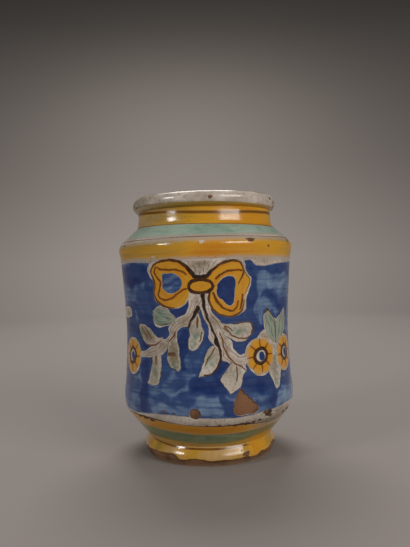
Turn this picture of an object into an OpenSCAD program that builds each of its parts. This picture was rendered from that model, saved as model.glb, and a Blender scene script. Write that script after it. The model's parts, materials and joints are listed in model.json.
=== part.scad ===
// Albarello: a waisted drug jar of thrown earthenware under tin glaze,
// painted with bands and, on a blue ground, a ribbon bow with flower sprays.
// +Z is up, the origin is the middle of the foot on the table, the bow faces -Y.

/* [Heights] */
// Foot, from the table to the groove above it
foot_h = 14.5; // [11:0.5:20]
// Tapered base, from the groove to the corner under the wall
base_h = 23; // [18:0.5:32]
// Wall, from the base corner to the shoulder edge
wall_h = 127.5; // [110:0.5:150]
// Sloping shoulder, from its edge to the neck
shoulder_h = 11.7; // [9:0.1:18]
// Neck, from the shoulder to the underside of the rim
neck_h = 12.3; // [10:0.1:20]
// Rim, from its underside to its top
rim_h = 11; // [8:0.5:16]

/* [Outside diameters] */
// Foot where it meets the table
foot_edge_d = 100; // [96:0.5:104]
// Foot at its fullest
foot_d = 105; // [100:0.5:114]
// Groove between foot and base
groove_d = 97.8; // [92:0.2:102]
// Base, about halfway up its taper
base_mid_d = 120; // [114:0.2:124]
// Corner between base and wall
corner_d = 132; // [128:0.2:136]
// Belly, the fullest part of the lower wall
belly_d = 134.8; // [130:0.2:140]
// Wall above the belly
flank_d = 132.2; // [128:0.2:138]
// Waist, the narrowest part of the wall
waist_d = 129.4; // [122:0.2:132]
// Wall below the rolled shoulder
collar_d = 135.4; // [130:0.2:140]
// Shoulder roll at its fullest
shoulder_d = 138.4; // [134:0.2:146]
// Edge where the shoulder starts to slope
edge_d = 135.4; // [130:0.2:138]
// Neck where it leaves the shoulder
neck_base_d = 108.4; // [105:0.2:114]
// Neck under the rim
neck_d = 105.8; // [102:0.2:110]
// Rim at its widest
rim_d = 114.4; // [110:0.2:122]

/* [Places on the wall] */
// Middle of the base above the groove
base_mid_up = 14.3; // [11:0.1:16]
// Belly above the base corner
belly_up = 10.5; // [7:0.5:14]
// Flank above the base corner
flank_up = 23; // [18:0.5:30]
// Waist above the base corner
waist_up = 61; // [45:1:75]
// Collar below the shoulder edge
collar_down = 15; // [11:0.5:20]
// Fullest shoulder below the shoulder edge
roll_down = 4.5; // [3:0.5:7]
// Fullest part of the foot above the table
foot_full_up = 6.2; // [5:0.2:8]

/* [Inside] */
// Width of the mouth
mouth_d = 94; // [84:0.5:98]
// Rounding of the lip into the mouth
lip_round = 2.5; // [1:0.1:3]
// Thickness of the wall, glazed
wall_t = 6.5; // [5:0.1:9]
// Thickness of the shoulder, glazed
shoulder_t = 7; // [5:0.1:9]
// Least thickness of the base, measured level
base_t = 5; // [4:0.1:5]
// Rounding between the wall and the floor inside
bowl_round = 28; // [22:0.5:30]
// Thickness of the floor, glazed
floor_t = 11; // [9:0.5:14]
// Hollow under the floor
foot_hollow = 7; // [4:0.5:9]
// Width of the ring that stands on the table
foot_ring_w = 10; // [6:0.5:14]

/* [Coats] */
// Thickness of the glaze
glaze_t = 0.8; // [0.5:0.1:1.2]
// Thickness of the painted colours on the glaze
paint_t = 0.25; // [0.2:0.05:0.4]
// Bare clay left below the glaze of the foot
foot_bare = 4; // [2.5:0.1:5.5]

/* [Painted bands] */
// Yellow band, below the shoulder edge
shoulder_band_down = 3; // [1:0.1:4]
// Width of the yellow band
shoulder_band_w = 11; // [7:0.5:13]
// White left between the yellow band and the blue panel
panel_gap_top = 2.5; // [1.5:0.1:5]
// White left between the blue panel and the base corner
panel_gap_bottom = 0.5; // [0.2:0.1:3]
// Dark line, above the shoulder edge
shoulder_line_up = 0.6; // [0.3:0.1:0.8]
// Height that the dark line takes on the shoulder
shoulder_line_w = 0.7; // [0.4:0.1:1]
// Green wash, above the shoulder edge
shoulder_green_up = 2.4; // [2:0.1:4]
// Brown line on the neck, above the shoulder
neck_line_up = 6.4; // [3:0.1:7]
// Width of the brown line on the neck
neck_line_w = 2.2; // [1:0.1:3]
// White left between the base corner and the bands of the base
base_white_w = 4.5; // [2:0.1:5]
// Brown line above the yellow of the base
base_line_w = 0.9; // [0.5:0.1:1.5]
// Yellow band of the base
base_yellow_w = 6.4; // [4:0.1:7]
// Green band of the base
base_green_w = 8.4; // [2:0.1:8.6]
// Brown line on the foot, below the groove
foot_line_down = 0.9; // [0.5:0.1:2]
// Width of the brown line on the foot
foot_line_w = 1.4; // [0.8:0.1:2.5]

/* [Painted flowers] */
// Flower, across its petals
flower_d = 26; // [20:0.5:28]
// Petals of each flower
petals = 8; // [5:1:12]
// Depth of the notches between petals
petal_notch = 1.6; // [0.5:0.1:3]
// Dark ring round the eye, across its outside
flower_ring_d = 13; // [10:0.5:16]
// Width of the dark ring
flower_ring_w = 2; // [1:0.1:3]
// Blue eye
flower_eye_d = 5.4; // [3:0.1:6]

/* [Hidden] */
$fn = 180;

// Levels above the table
corner_z = foot_h + base_h;
edge_z = corner_z + wall_h;
neck_z = edge_z + shoulder_h;
rim_z = neck_z + neck_h;
top_z = rim_z + rim_h;
floor_z = foot_hollow + floor_t;
panel_bottom = corner_z + panel_gap_bottom;
band_bottom = edge_z - shoulder_band_down - shoulder_band_w;
panel_top = band_bottom - panel_gap_top;

// Steps along each curve of the outline
foot_steps = 8;
wall_steps = 44;
cavity_steps = 22;
neck_steps = 6;
rim_steps = 14;
bowl_steps = 12;

// Smooth curve through stations [radius, height], read at one height
function slope(s, i) =
    let (a = max(i - 1, 0), b = min(i + 1, len(s) - 1))
    (s[b][0] - s[a][0]) / (s[b][1] - s[a][1]);
function station(s, z, i = 0) = i >= len(s) - 2 || z < s[i + 1][1] ? i : station(s, z, i + 1);
function curve_r(s, z) =
    let (i = station(s, z), h = s[i + 1][1] - s[i][1], t = (z - s[i][1]) / h)
    s[i][0] * (1 + 2 * t) * (1 - t) ^ 2 + slope(s, i) * h * t * (1 - t) ^ 2
    + s[i + 1][0] * t ^ 2 * (3 - 2 * t) + slope(s, i + 1) * h * t ^ 2 * (t - 1);
function curve(s, z0, z1, steps) =
    [for (i = [0 : steps]) let (z = z0 + (z1 - z0) * i / steps) [curve_r(s, z), z]];

// The outline moved sideways by d, outwards when d is positive, with mitred corners
function normal(a, b) = [b[1] - a[1], a[0] - b[0]] / norm(b - a);
function moved(path, d) =
    [for (i = [0 : len(path) - 1])
        let (
            n1 = normal(path[max(i - 1, 0)], path[max(i, 1)]),
            n2 = normal(path[min(i, len(path) - 2)], path[min(i + 1, len(path) - 1)])
        )
        path[i] + d * (n1 + n2) / (1 + n1 * n2)];
function part_of(path, first, last) = [for (i = [first : last]) path[i]];
function backwards(path) = [for (i = [len(path) - 1 : -1 : 0]) path[i]];
function without_first(path) = part_of(path, 1, len(path) - 1);

// Outline of the glazed jar, from the table up the outside, over the lip and down to the floor
foot_stations = [[foot_edge_d / 2, 0], [foot_d / 2, foot_full_up], [groove_d / 2, foot_h]];
wall_stations = [
    [groove_d / 2, foot_h],
    [base_mid_d / 2, foot_h + base_mid_up],
    [corner_d / 2, corner_z],
    [belly_d / 2, corner_z + belly_up],
    [flank_d / 2, corner_z + flank_up],
    [waist_d / 2, corner_z + waist_up],
    [collar_d / 2, edge_z - collar_down],
    [shoulder_d / 2, edge_z - roll_down],
    [edge_d / 2, edge_z]
];
bare_path = curve(foot_stations, 0, foot_bare, foot_steps);
foot_path = without_first(curve(foot_stations, foot_bare, foot_h, foot_steps));
base_path = without_first(curve(wall_stations, foot_h, corner_z, foot_steps));
wall_path = without_first(curve(wall_stations, corner_z, edge_z, wall_steps));
neck_path = [for (i = [0 : neck_steps])
    let (t = i / neck_steps)
    [(neck_d + (neck_base_d - neck_d) * (1 - t) ^ 2) / 2, neck_z + neck_h * t]];
rim_path = [for (i = [1 : rim_steps])
    let (a = -90 + 180 * i / rim_steps)
    [neck_d / 2 + (rim_d - neck_d) / 2 * cos(a), rim_z + rim_h / 2 * (1 + sin(a))]];
lip_path = [for (i = [0 : neck_steps])
    let (a = 90 + 90 * i / neck_steps)
    [mouth_d / 2 + lip_round * (1 + cos(a)), top_z - lip_round * (1 - sin(a))]];

// Inside of the shoulder runs parallel to its outside, shoulder_t below it
shoulder_rise = shoulder_h / ((edge_d - neck_base_d) / 2);
function shoulder_in_z(r) =
    edge_z + (edge_d / 2 - r) * shoulder_rise - shoulder_t * sqrt(1 + shoulder_rise ^ 2);
cavity_top_r = min(edge_d, shoulder_d) / 2 - wall_t;
cavity_top_z = shoulder_in_z(cavity_top_r);
bowl_z = floor_z + bowl_round;
bowl_r = curve_r(wall_stations, bowl_z) - wall_t;
cavity_path = concat(
    [[mouth_d / 2, shoulder_in_z(mouth_d / 2)]],
    [[cavity_top_r, cavity_top_z]],
    [for (i = [1 : cavity_steps - 1])
        let (z = cavity_top_z + (bowl_z - cavity_top_z) * i / cavity_steps)
        [curve_r(wall_stations, z) - wall_t, z]],
    [for (i = [0 : bowl_steps])
        let (
            a = 90 * i / bowl_steps,
            z = bowl_z - bowl_round * sin(a),
            arc_r = bowl_r - bowl_round * (1 - cos(a))
        )
        [min(arc_r, curve_r(wall_stations, z) - base_t), z]],
    [[0, floor_z]]
);
skin = concat(bare_path, foot_path, base_path, wall_path, neck_path, rim_path, lip_path, cavity_path);
clay_line = moved(skin, -glaze_t);

// Where each glazed zone starts on the outline
foot_i = len(bare_path) - 1;
base_i = foot_i + len(foot_path);
wall_i = base_i + len(base_path);
shoulder_i = wall_i + len(wall_path);
neck_i = shoulder_i + 1;
rim_i = neck_i + neck_steps;
lining_i = rim_i + len(rim_path) + len(lip_path);

// A turned coat over one zone of the outline
module glaze_zone(first, last) {
    rotate_extrude()
        polygon(concat(part_of(skin, first, last), backwards(part_of(clay_line, first, last))));
}

// A turned coat of paint between two heights on the outside
outside = part_of(skin, 0, rim_i);
least_step = 0.01;
function at_height(z) = [lookup(z, [for (p = outside) [p[1], p[0]]]), z];
function between(p, z0, z1) = p[1] > z0 + least_step && p[1] < z1 - least_step;
function span(z0, z1) =
    concat([at_height(z0)], [for (p = outside) if (between(p, z0, z1)) p], [at_height(z1)]);
module paint_ring(z0, z1) {
    path = span(z0, z1);
    rotate_extrude() polygon(concat(moved(path, paint_t), backwards(path)));
}

// The ornament is laid out on a chart of degrees round the jar, from the bow's side, by heights
// on a panel chart_h tall, stretched to the panel as built. It is painted on the front and the back.
chart_h = 110.5;
sides = [0, 180];
reach = shoulder_d;
degree_w = PI * waist_d / 360;
function panel_z(v) = panel_bottom + v * (panel_top - panel_bottom) / chart_h;
function mean_turn(pts) = (max([for (p = pts) p[0]]) + min([for (p = pts) p[0]])) / 2;
module stamp(pts) {
    turn = mean_turn(pts);
    rotate([0, 0, turn]) rotate([90, 0, 0]) linear_extrude(height = reach)
        polygon([for (p = pts) let (z = panel_z(p[1])) [at_height(z)[0] * sin(p[0] - turn), z]]);
}
module painted() {
    intersection() {
        paint_ring(panel_bottom, band_bottom);
        for (side = sides) rotate([0, 0, side]) children();
    }
}

// Smooth closed outline and smooth line through hand-chosen points
outline_steps = 3;
round_steps = 24;
function blend(a, b, c, d, t) =
    0.5 * (2 * b + (c - a) * t + (2 * a - 5 * b + 4 * c - d) * t ^ 2 + (3 * b - a - 3 * c + d) * t ^ 3);
function rounded(pts) =
    let (n = len(pts))
    [for (i = [0 : n - 1], k = [0 : outline_steps - 1])
        blend(pts[(i + n - 1) % n], pts[i], pts[(i + 1) % n], pts[(i + 2) % n], k / outline_steps)];
function line(pts) =
    let (n = len(pts) - 1)
    concat([for (i = [0 : n - 1], k = [0 : outline_steps - 1])
        blend(pts[max(i - 1, 0)], pts[i], pts[i + 1], pts[min(i + 2, n)], k / outline_steps)], [pts[n]]);

// Brush stroke along points [degree, height, width]
function flat(p) = [p[0] * degree_w, p[1]];
function stroke(pts) =
    let (
        path = line(pts),
        left = [for (i = [0 : len(path) - 1]) beside(path, i, 0.5)],
        right = [for (i = [0 : len(path) - 1]) beside(path, i, -0.5)]
    )
    concat(left, backwards(right));
function beside(path, i, k) =
    let (n = normal(flat(path[max(i - 1, 0)]), flat(path[min(i + 1, len(path) - 1)])))
    [path[i][0] + k * path[i][2] * n[0] / degree_w, path[i][1] + k * path[i][2] * n[1]];

// Round outline of diameter d, with notches cut in it where lobes are asked for
function round_outline(centre, d, lobes = 0, notch = 0, steps = round_steps) =
    [for (i = [0 : steps - 1])
        let (a = 360 * i / steps, r = d / 2 - notch * abs(sin(lobes * a / 2)) ^ 4)
        [centre[0] + r * cos(a) / degree_w, centre[1] + r * sin(a)]];

// Bow
left_loop = rounded([[-9, 99], [-12, 107], [-18, 111], [-25, 111.5], [-32, 109.5], [-35.3, 105],
    [-33.5, 97], [-34.3, 89], [-31, 82.3], [-24, 78.8], [-17, 79.3], [-12.5, 83.5], [-10.5, 90]]);
left_hole = rounded([[-27.5, 102], [-22, 103], [-17, 100.7], [-15, 96], [-17, 90.5], [-21, 88.6],
    [-26, 90.5], [-28, 96]]);
right_loop = rounded([[1.5, 101], [6, 106.7], [12, 110], [18, 110.5], [22, 107.5], [24, 102.5],
    [28, 98], [26, 92], [23.3, 86], [22.3, 78.5], [18, 72.6], [13, 71.9], [7, 74], [2.5, 80],
    [1.5, 88], [3, 91]]);
right_hole = rounded([[8, 96.5], [14, 100.2], [18, 96], [17.4, 88], [16.5, 81], [14, 79.2], [10, 83],
    [6.5, 88]]);
knot = rounded([[-10.5, 93.5], [-8, 97.3], [-3.5, 98.3], [2, 97], [4, 93.5], [1.5, 90.3], [-3.5, 89.6],
    [-8.5, 90.3]]);
bow_strokes = [
    [[-14, 104.8, 1], [-21, 105.5, 1.2], [-28, 106, 1.2], [-32, 109, 0.8]],
    [[-33, 105, 1], [-31, 100, 1.3], [-29.3, 96, 1.2], [-31, 88, 1.4], [-29, 85, 1.3], [-24, 84.6, 1.2],
        [-18, 88.5, 1.1], [-12, 91.5, 0.8]],
    [[5.5, 98.5, 1], [11, 102.8, 1.2], [16, 104, 1.2], [22.5, 103.6, 0.9]],
    [[4.2, 88.5, 1], [6.5, 82, 1.3], [10.5, 77.5, 1.2], [15.5, 75.3, 1.2], [19.5, 79, 1]]
];

// Leaves and trunks, left white in the blue ground
white_shapes = [
    rounded([[-14, 110], [-4, 110.3], [13, 110.3], [6, 106.5], [0, 101], [-5, 99.5], [-10, 101]]),
    stroke([[-5, 90, 15], [-8, 82, 10], [-15, 70, 9], [-22, 60, 8], [-30, 53.5, 8], [-38, 48, 7],
        [-48, 44, 5]]),
    stroke([[-1, 90, 8], [1.5, 74, 9], [7, 62, 10], [12, 50, 9], [18, 41, 10], [25, 40, 8]]),
    rounded([[-6, 74], [-11, 64], [-12.2, 54], [-10, 48.3], [-5, 52], [-2.3, 60], [-4, 70]]),
    rounded([[5.5, 52], [0, 48], [-3, 40], [-6.2, 31], [0, 31.6], [5, 35.5], [7.6, 43]]),
    rounded([[8, 67], [16, 66.5], [25, 66.8], [29.6, 62], [28, 57], [22, 54], [12, 58]]),
    rounded([[13, 39], [9.5, 31.5], [6.8, 27], [10, 23], [13, 18], [19.5, 22.5], [23, 31.5], [20, 39]]),
    rounded([[-50, 66.5], [-43, 65.5], [-37, 59], [-31, 56], [-35, 52], [-44, 53], [-48.5, 59]]),
    rounded([[-37, 45], [-38.5, 36], [-41.8, 24], [-37, 23.4], [-33, 24.3], [-31.2, 34], [-31.5, 44]]),
    rounded([[-21, 58], [-25.5, 50], [-26, 42], [-23, 36], [-18.7, 34], [-17.5, 40], [-18.5, 50]]),
    rounded([[49.5, 52], [48.5, 40], [45, 29], [47.2, 17], [51, 18.5], [54, 27], [52, 40], [52.5, 50]]),
    rounded([[-59, 77], [-68, 76], [-80, 68], [-82, 62], [-74, 59], [-66, 66]])
];
green_shapes = [
    rounded([[-36, 76], [-30, 79], [-24, 76.5], [-20, 71.5], [-24, 66.5], [-31.5, 65.3], [-36, 69]]),
    rounded([[40.5, 73.5], [46.5, 71], [51.5, 66.5], [57, 69.5], [63.3, 74.5], [64, 61], [58, 54],
        [51, 48], [45, 54], [40.5, 62]])
];
stem_strokes = [
    [[-2.5, 91, 2.2], [-2, 84, 1.9], [-1, 76, 1.5], [2, 66, 1.3], [4.8, 58, 2], [5.5, 54, 3.2],
        [7.3, 48, 1.9], [7.5, 42, 1.6], [5, 35.5, 1.3], [0, 31.8, 0.8]],
    [[-4.8, 80, 2.4], [-6.5, 76, 2.5], [-9, 71, 1.7], [-11.8, 65, 1]]
];
vein_strokes = [
    [[7.5, 61, 0.9], [10, 50, 1.1], [15, 40.7, 1.2], [22, 35.5, 0.9]],
    [[11, 64, 1], [14.5, 59, 1.1], [20, 56.3, 1.1], [27, 56.6, 0.8]],
    [[-42, 53.5, 0.8], [-36, 52.5, 1.1], [-31, 54.5, 0.8]],
    [[-20, 62, 0.9], [-22.5, 57.5, 1.2], [-25, 55, 0.8]],
    [[4, 50, 0.8], [1, 44, 1], [-2, 38, 0.8]],
    [[-3.2, 62, 0.7], [-3.8, 58, 0.9], [-5, 54, 0.7]],
    [[17.5, 37, 0.8], [17.8, 32, 1], [17.2, 26, 0.8]],
    [[49.5, 68, 0.8], [50.5, 60, 1], [50.5, 50, 0.8]],
    [[-35, 44, 1], [-35, 39, 1.3], [-34.5, 34, 0.8]]
];
flower_places = [[-61, 42], [35.7, 41.7], [62.5, 41]];

// Losses, where the coats have flaked down to the clay on the bow's side
flake_d = 8.2;
flake_place = [-8.8, 4.8];
large_loss = [[14.3, 4.5], [14, 9.5], [16, 14.5], [19.5, 20.5], [22.5, 17.5], [26, 13.5], [29, 10],
    [31.5, 5.5], [30.5, 2.4], [24, 1.8], [18, 2.8]];
leaf_chip = [[-26, 44.7], [-20.7, 44.9], [-20.8, 47.2], [-25.8, 47]];
module losses() {
    stamp(round_outline(flake_place, flake_d));
    stamp(large_loss);
    stamp(leaf_chip);
}

// Clay
module clay_body() {
    hollow_r = foot_edge_d / 2 - foot_ring_w;
    color("sienna") rotate_extrude() polygon(concat(
        [[0, foot_hollow], [hollow_r, foot_hollow], [hollow_r, 0], [foot_edge_d / 2 - glaze_t, 0]],
        without_first(clay_line)
    ));
}

// Glaze
module lining_glaze() { color("ivory") glaze_zone(lining_i, len(skin) - 1); }
module rim_glaze() { color("ivory") glaze_zone(rim_i, lining_i); }
module neck_glaze() { color("goldenrod") glaze_zone(neck_i, rim_i); }
module shoulder_glaze() { color("ivory") glaze_zone(shoulder_i, neck_i); }
module wall_glaze() {
    color("ivory") difference() {
        glaze_zone(wall_i, shoulder_i);
        losses();
    }
}
module base_glaze() { color("ivory") glaze_zone(base_i, wall_i); }
module foot_glaze() { color("goldenrod") glaze_zone(foot_i, base_i); }

// Bands
module neck_line() {
    color("saddlebrown") paint_ring(neck_z + neck_line_up, neck_z + neck_line_up + neck_line_w);
}
module shoulder_green() { color("mediumaquamarine") paint_ring(edge_z + shoulder_green_up, neck_z); }
module shoulder_line() {
    line_z = edge_z + shoulder_line_up;
    color("darkslategray") paint_ring(line_z, line_z + shoulder_line_w);
}
module shoulder_band() { color("orange") paint_ring(band_bottom, edge_z - shoulder_band_down); }
base_line_z = corner_z - base_white_w;
base_yellow_z = base_line_z - base_line_w;
base_green_z = base_yellow_z - base_yellow_w;
module base_line() { color("saddlebrown") paint_ring(base_yellow_z, base_line_z); }
module base_yellow() { color("orange") paint_ring(base_green_z, base_yellow_z); }
module base_green() { color("mediumaquamarine") paint_ring(base_green_z - base_green_w, base_green_z); }
module foot_line() {
    line_top = foot_h - foot_line_down;
    color("saddlebrown") paint_ring(line_top - foot_line_w, line_top);
}

// Blue ground, cut away round everything that is reserved in it
module loop(outer, hole) {
    difference() {
        stamp(outer);
        stamp(hole);
    }
}
module bow() {
    loop(left_loop, left_hole);
    loop(right_loop, right_hole);
    stamp(knot);
}
module flower() {
    for (place = flower_places) stamp(round_outline(place, flower_d, petals, petal_notch, 4 * petals));
}
module cobalt_ground() {
    color("midnightblue") difference() {
        paint_ring(panel_bottom, panel_top);
        for (side = sides) rotate([0, 0, side]) {
            bow();
            flower();
            for (shape = white_shapes) stamp(shape);
            for (shape = green_shapes) stamp(shape);
        }
        losses();
    }
}

// Drawing on the reserves
module bow_ribbon() {
    color("orange") difference() {
        painted() bow();
        for (side = sides) rotate([0, 0, side]) for (pts = bow_strokes) stamp(stroke(pts));
    }
}
module bow_lines() { color("saddlebrown") painted() for (pts = bow_strokes) stamp(stroke(pts)); }
module stems() { color("black") painted() for (pts = stem_strokes) stamp(stroke(pts)); }
module green_leaves() {
    color("mediumaquamarine") difference() {
        painted() for (shape = green_shapes) stamp(shape);
        for (side = sides) rotate([0, 0, side]) {
            flower();
            for (pts = vein_strokes) stamp(stroke(pts));
        }
    }
}
module leaf_veins() {
    color("saddlebrown") difference() {
        painted() for (pts = vein_strokes) stamp(stroke(pts));
        for (side = sides) rotate([0, 0, side]) for (pts = stem_strokes) stamp(stroke(pts));
    }
}
module flower_petals() {
    color("orange") difference() {
        painted() flower();
        for (side = sides, place = flower_places) rotate([0, 0, side])
            stamp(round_outline(place, flower_ring_d));
    }
}
module flower_rings() {
    color("saddlebrown") painted() for (place = flower_places) difference() {
        stamp(round_outline(place, flower_ring_d));
        stamp(round_outline(place, flower_ring_d - 2 * flower_ring_w));
    }
}
module flower_eyes() {
    color("midnightblue") painted() for (place = flower_places) stamp(round_outline(place, flower_eye_d));
}

clay_body();
lining_glaze();
rim_glaze();
neck_glaze();
shoulder_glaze();
wall_glaze();
base_glaze();
foot_glaze();
neck_line();
shoulder_green();
shoulder_line();
shoulder_band();
cobalt_ground();
bow_ribbon();
bow_lines();
stems();
green_leaves();
leaf_veins();
flower_petals();
flower_rings();
flower_eyes();
base_line();
base_yellow();
base_green();
foot_line();
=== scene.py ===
import json
import math

import bpy
import numpy as np
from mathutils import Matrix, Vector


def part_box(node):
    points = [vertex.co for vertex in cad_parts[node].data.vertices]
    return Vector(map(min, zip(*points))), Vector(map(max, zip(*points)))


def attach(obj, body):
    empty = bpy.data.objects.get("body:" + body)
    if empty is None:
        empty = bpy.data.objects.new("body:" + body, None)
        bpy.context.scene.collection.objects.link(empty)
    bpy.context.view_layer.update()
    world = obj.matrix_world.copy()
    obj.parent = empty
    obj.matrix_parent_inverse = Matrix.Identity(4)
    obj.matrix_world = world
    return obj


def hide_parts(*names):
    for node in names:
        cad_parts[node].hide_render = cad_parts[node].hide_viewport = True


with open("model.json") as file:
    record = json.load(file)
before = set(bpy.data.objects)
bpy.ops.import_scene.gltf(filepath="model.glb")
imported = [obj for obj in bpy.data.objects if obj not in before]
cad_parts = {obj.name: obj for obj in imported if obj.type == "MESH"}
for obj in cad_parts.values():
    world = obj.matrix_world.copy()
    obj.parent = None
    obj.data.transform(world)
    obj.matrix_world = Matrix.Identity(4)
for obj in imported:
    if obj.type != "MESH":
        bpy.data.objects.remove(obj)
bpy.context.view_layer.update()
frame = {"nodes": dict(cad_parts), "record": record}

bl_info = {
    "name": "Painted drug jar",
    "version": (1, 0, 0),
    "blender": (4, 5, 0),
    "location": "View3D > Sidebar > Jar",
    "description": "Lays glaze and painted ornament over the solids of an albarello and sets up a studio",
    "category": "Object",
}

MM = 0.001


def linear(code):
    """Linear colour of an sRGB hex value: c / 12.92 when dark, otherwise ((c + 0.055) / 1.055) ** 2.4."""
    srgb = np.array([int(code[i:i + 2], 16) for i in (1, 3, 5)]) / 255
    return tuple(float(c) for c in np.where(srgb <= 0.04045, srgb / 12.92, ((srgb + 0.055) / 1.055) ** 2.4))


# Sizes, colours and studio settings that a user would change

def length(name, description, default):
    """A length property in metres."""
    return bpy.props.FloatProperty(
        name=name, description=description, default=default, min=0, precision=5, subtype="DISTANCE", unit="LENGTH")


def colour(name, description, code):
    """A colour property with an sRGB hex default."""
    return bpy.props.FloatVectorProperty(
        name=name, description=description, default=linear(code), min=0, max=1, size=3, subtype="COLOR")


def power(name, description, default):
    """The power of a lamp, in watts."""
    return bpy.props.FloatProperty(name=name, description=description, default=default, min=0, unit="POWER")


class JarSizes(bpy.types.PropertyGroup):
    """Thicknesses and unevenness of the coats."""
    glaze_t: length("Glaze", "Thickness of the glaze", 0.0008)
    paint_t: length("Paint", "Depth of the painted colours", 0.0003)
    wobble: length("Wobble", "How far the thrown wall strays from a true circle", 0.00016)
    hand: length("Hand", "How far a painted band strays from its line", 0.0003)
    lip_round: length("Lip rounding", "Rounding of the lip into the mouth", 0.0025)
    flower_r: length("Flower", "Radius of a flower over its petals", 0.0135)
    petals: bpy.props.IntProperty(name="Petals", description="Petals of each flower", default=8, min=5, max=12)


class JarColours(bpy.types.PropertyGroup):
    """Colours of clay, glaze and pigments."""
    clay: colour("Clay", "Bare fired clay", "#8A6040")
    clay_dark: colour("Clay, stained", "Clay darkened by handling and soot", "#4A3424")
    # Partly dust and partly a painted sheen: the grey on the lowest 4 mm of the bare foot
    dust_and_sheen: colour("Dust", "Grey dust on the clay that stands on the table", "#95806A")
    white: colour("Tin white", "Tin glaze where it is thick", "#D6CABE")
    white_thin: colour("Tin white, thin", "Tin glaze where the clay shows through", "#B3A698")
    # Stain also serves as painted shade on the rim's left side and on the base
    stain: colour("Stain", "Old dirt and thin yellow on the white", "#887760")
    speck: colour("Speck", "Iron specks and pinholes in the glaze", "#5E3E28")
    yellow: colour("Yellow", "Antimony yellow, full", "#D69C2A")
    orange: colour("Orange", "Antimony yellow with much iron", "#CB7A08")
    # Olive also serves as painted shade where the neck's yellow runs up under the rim
    olive: colour("Olive", "Yellow laid thin over a greenish glaze", "#A08338")
    green: colour("Green", "Copper green, full", "#4F8470")
    green_deep: colour("Green, deep", "Copper green where strokes overlap", "#30584A")
    green_pale: colour("Green, pale", "Copper green, washed thin", "#A3B8A8")
    blue_deep: colour("Blue, deep", "Cobalt blue where strokes overlap", "#142C66")
    blue: colour("Blue", "Cobalt blue, one stroke", "#375283")
    blue_pale: colour("Blue, pale", "Cobalt blue, washed thin", "#7F97B2")
    brown: colour("Brown line", "Iron brown drawing", "#7C4A14")
    dark: colour("Dark line", "Manganese brown-black drawing", "#2A1B12")


class StudioSettings(bpy.types.PropertyGroup):
    """Camera, lamps and backdrop."""
    camera_x: bpy.props.FloatProperty(
        name="Camera aside", description="Camera to the right of the jar", default=-0.0006, unit="LENGTH")
    camera_d: length("Camera distance", "Camera in front of the jar's axis", 0.4572)
    camera_h: length("Camera height", "Camera above the table", 0.1402)
    roll: bpy.props.FloatProperty(
        name="Roll", description="Tilt of the camera about its line of sight", default=math.radians(1.6),
        subtype="ANGLE", unit="ROTATION")
    focal: bpy.props.FloatProperty(
        name="Focal length", description="Focal length in millimetres on a 36 mm sensor", default=37.05, min=10,
        unit="CAMERA")
    key_power: power("Key", "Power of the large lamp on the right", 9.0)
    side_power: power("Side", "Power of the small lamp on the left", 4.0)
    top_power: power("Top", "Power of the wide lamp over and behind the jar", 10.0)
    glow_power: power("Glow", "Power of the lamp on the backdrop", 7.8)
    fill: bpy.props.FloatProperty(name="Fill", description="Level of the light all round", default=0.18, min=0)
    near: colour("Floor", "Seamless paper near the jar", "#908884")
    middle: colour("Sweep", "Seamless paper where it turns up", "#948C88")
    # Darker high up: painted shade on the backdrop, where less light reaches it
    far: colour("Backdrop", "Seamless paper high behind the jar", "#645E59")


# Curves and the jar's skin

def curve(knots, values, at):
    """Smooth curve through values at rising knots: cubic Hermite pieces with central-difference slopes,
    carried on as a straight line past either end."""
    knots, values, at = (np.asarray(a, float) for a in (knots, values, at))
    flat = values.reshape(len(knots), -1)
    slopes = np.gradient(flat, knots, axis=0)
    spot = np.clip(at.ravel(), knots[0], knots[-1])
    i = np.clip(np.searchsorted(knots, spot, "right") - 1, 0, len(knots) - 2)
    h = (knots[i + 1] - knots[i])[:, None]
    t = (spot - knots[i])[:, None] / h
    found = (flat[i] * (1 + 2 * t) * (1 - t) ** 2 + slopes[i] * h * t * (1 - t) ** 2
             + flat[i + 1] * t ** 2 * (3 - 2 * t) + slopes[i + 1] * h * t ** 2 * (t - 1))
    past = (at.ravel() - spot)[:, None]
    found = found + np.where(past < 0, slopes[0], slopes[-1]) * past
    return found.reshape(at.shape + values.shape[1:])


def drawn(points, count, closed=False):
    """Smooth line through given points, sampled at count even steps of the length between them."""
    points = np.asarray(points, float)
    if closed:
        points = np.concatenate([points[-3:], points, points[:4]])
    steps = np.hypot(*np.diff(points[:, :2], axis=0).T)
    knots = np.concatenate([[0], np.cumsum(steps)])
    if closed:
        return curve(knots, points, np.linspace(knots[3], knots[-4], count, endpoint=False))
    return curve(knots, points, np.linspace(0, knots[-1], count))


# On an outward face, more than this share of the normal points away from the axis; a ring has more corners than this
OUTWARD_SHARE, RING_CORNERS = 0.2, 24
# Rounding in millimetres where the wall meets the shoulder, the shoulder meets the neck, and the foot meets the base
EDGE_SOFT, NECK_SOFT, FOOT_SOFT = 0.8, 0.4, 0.2


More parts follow.
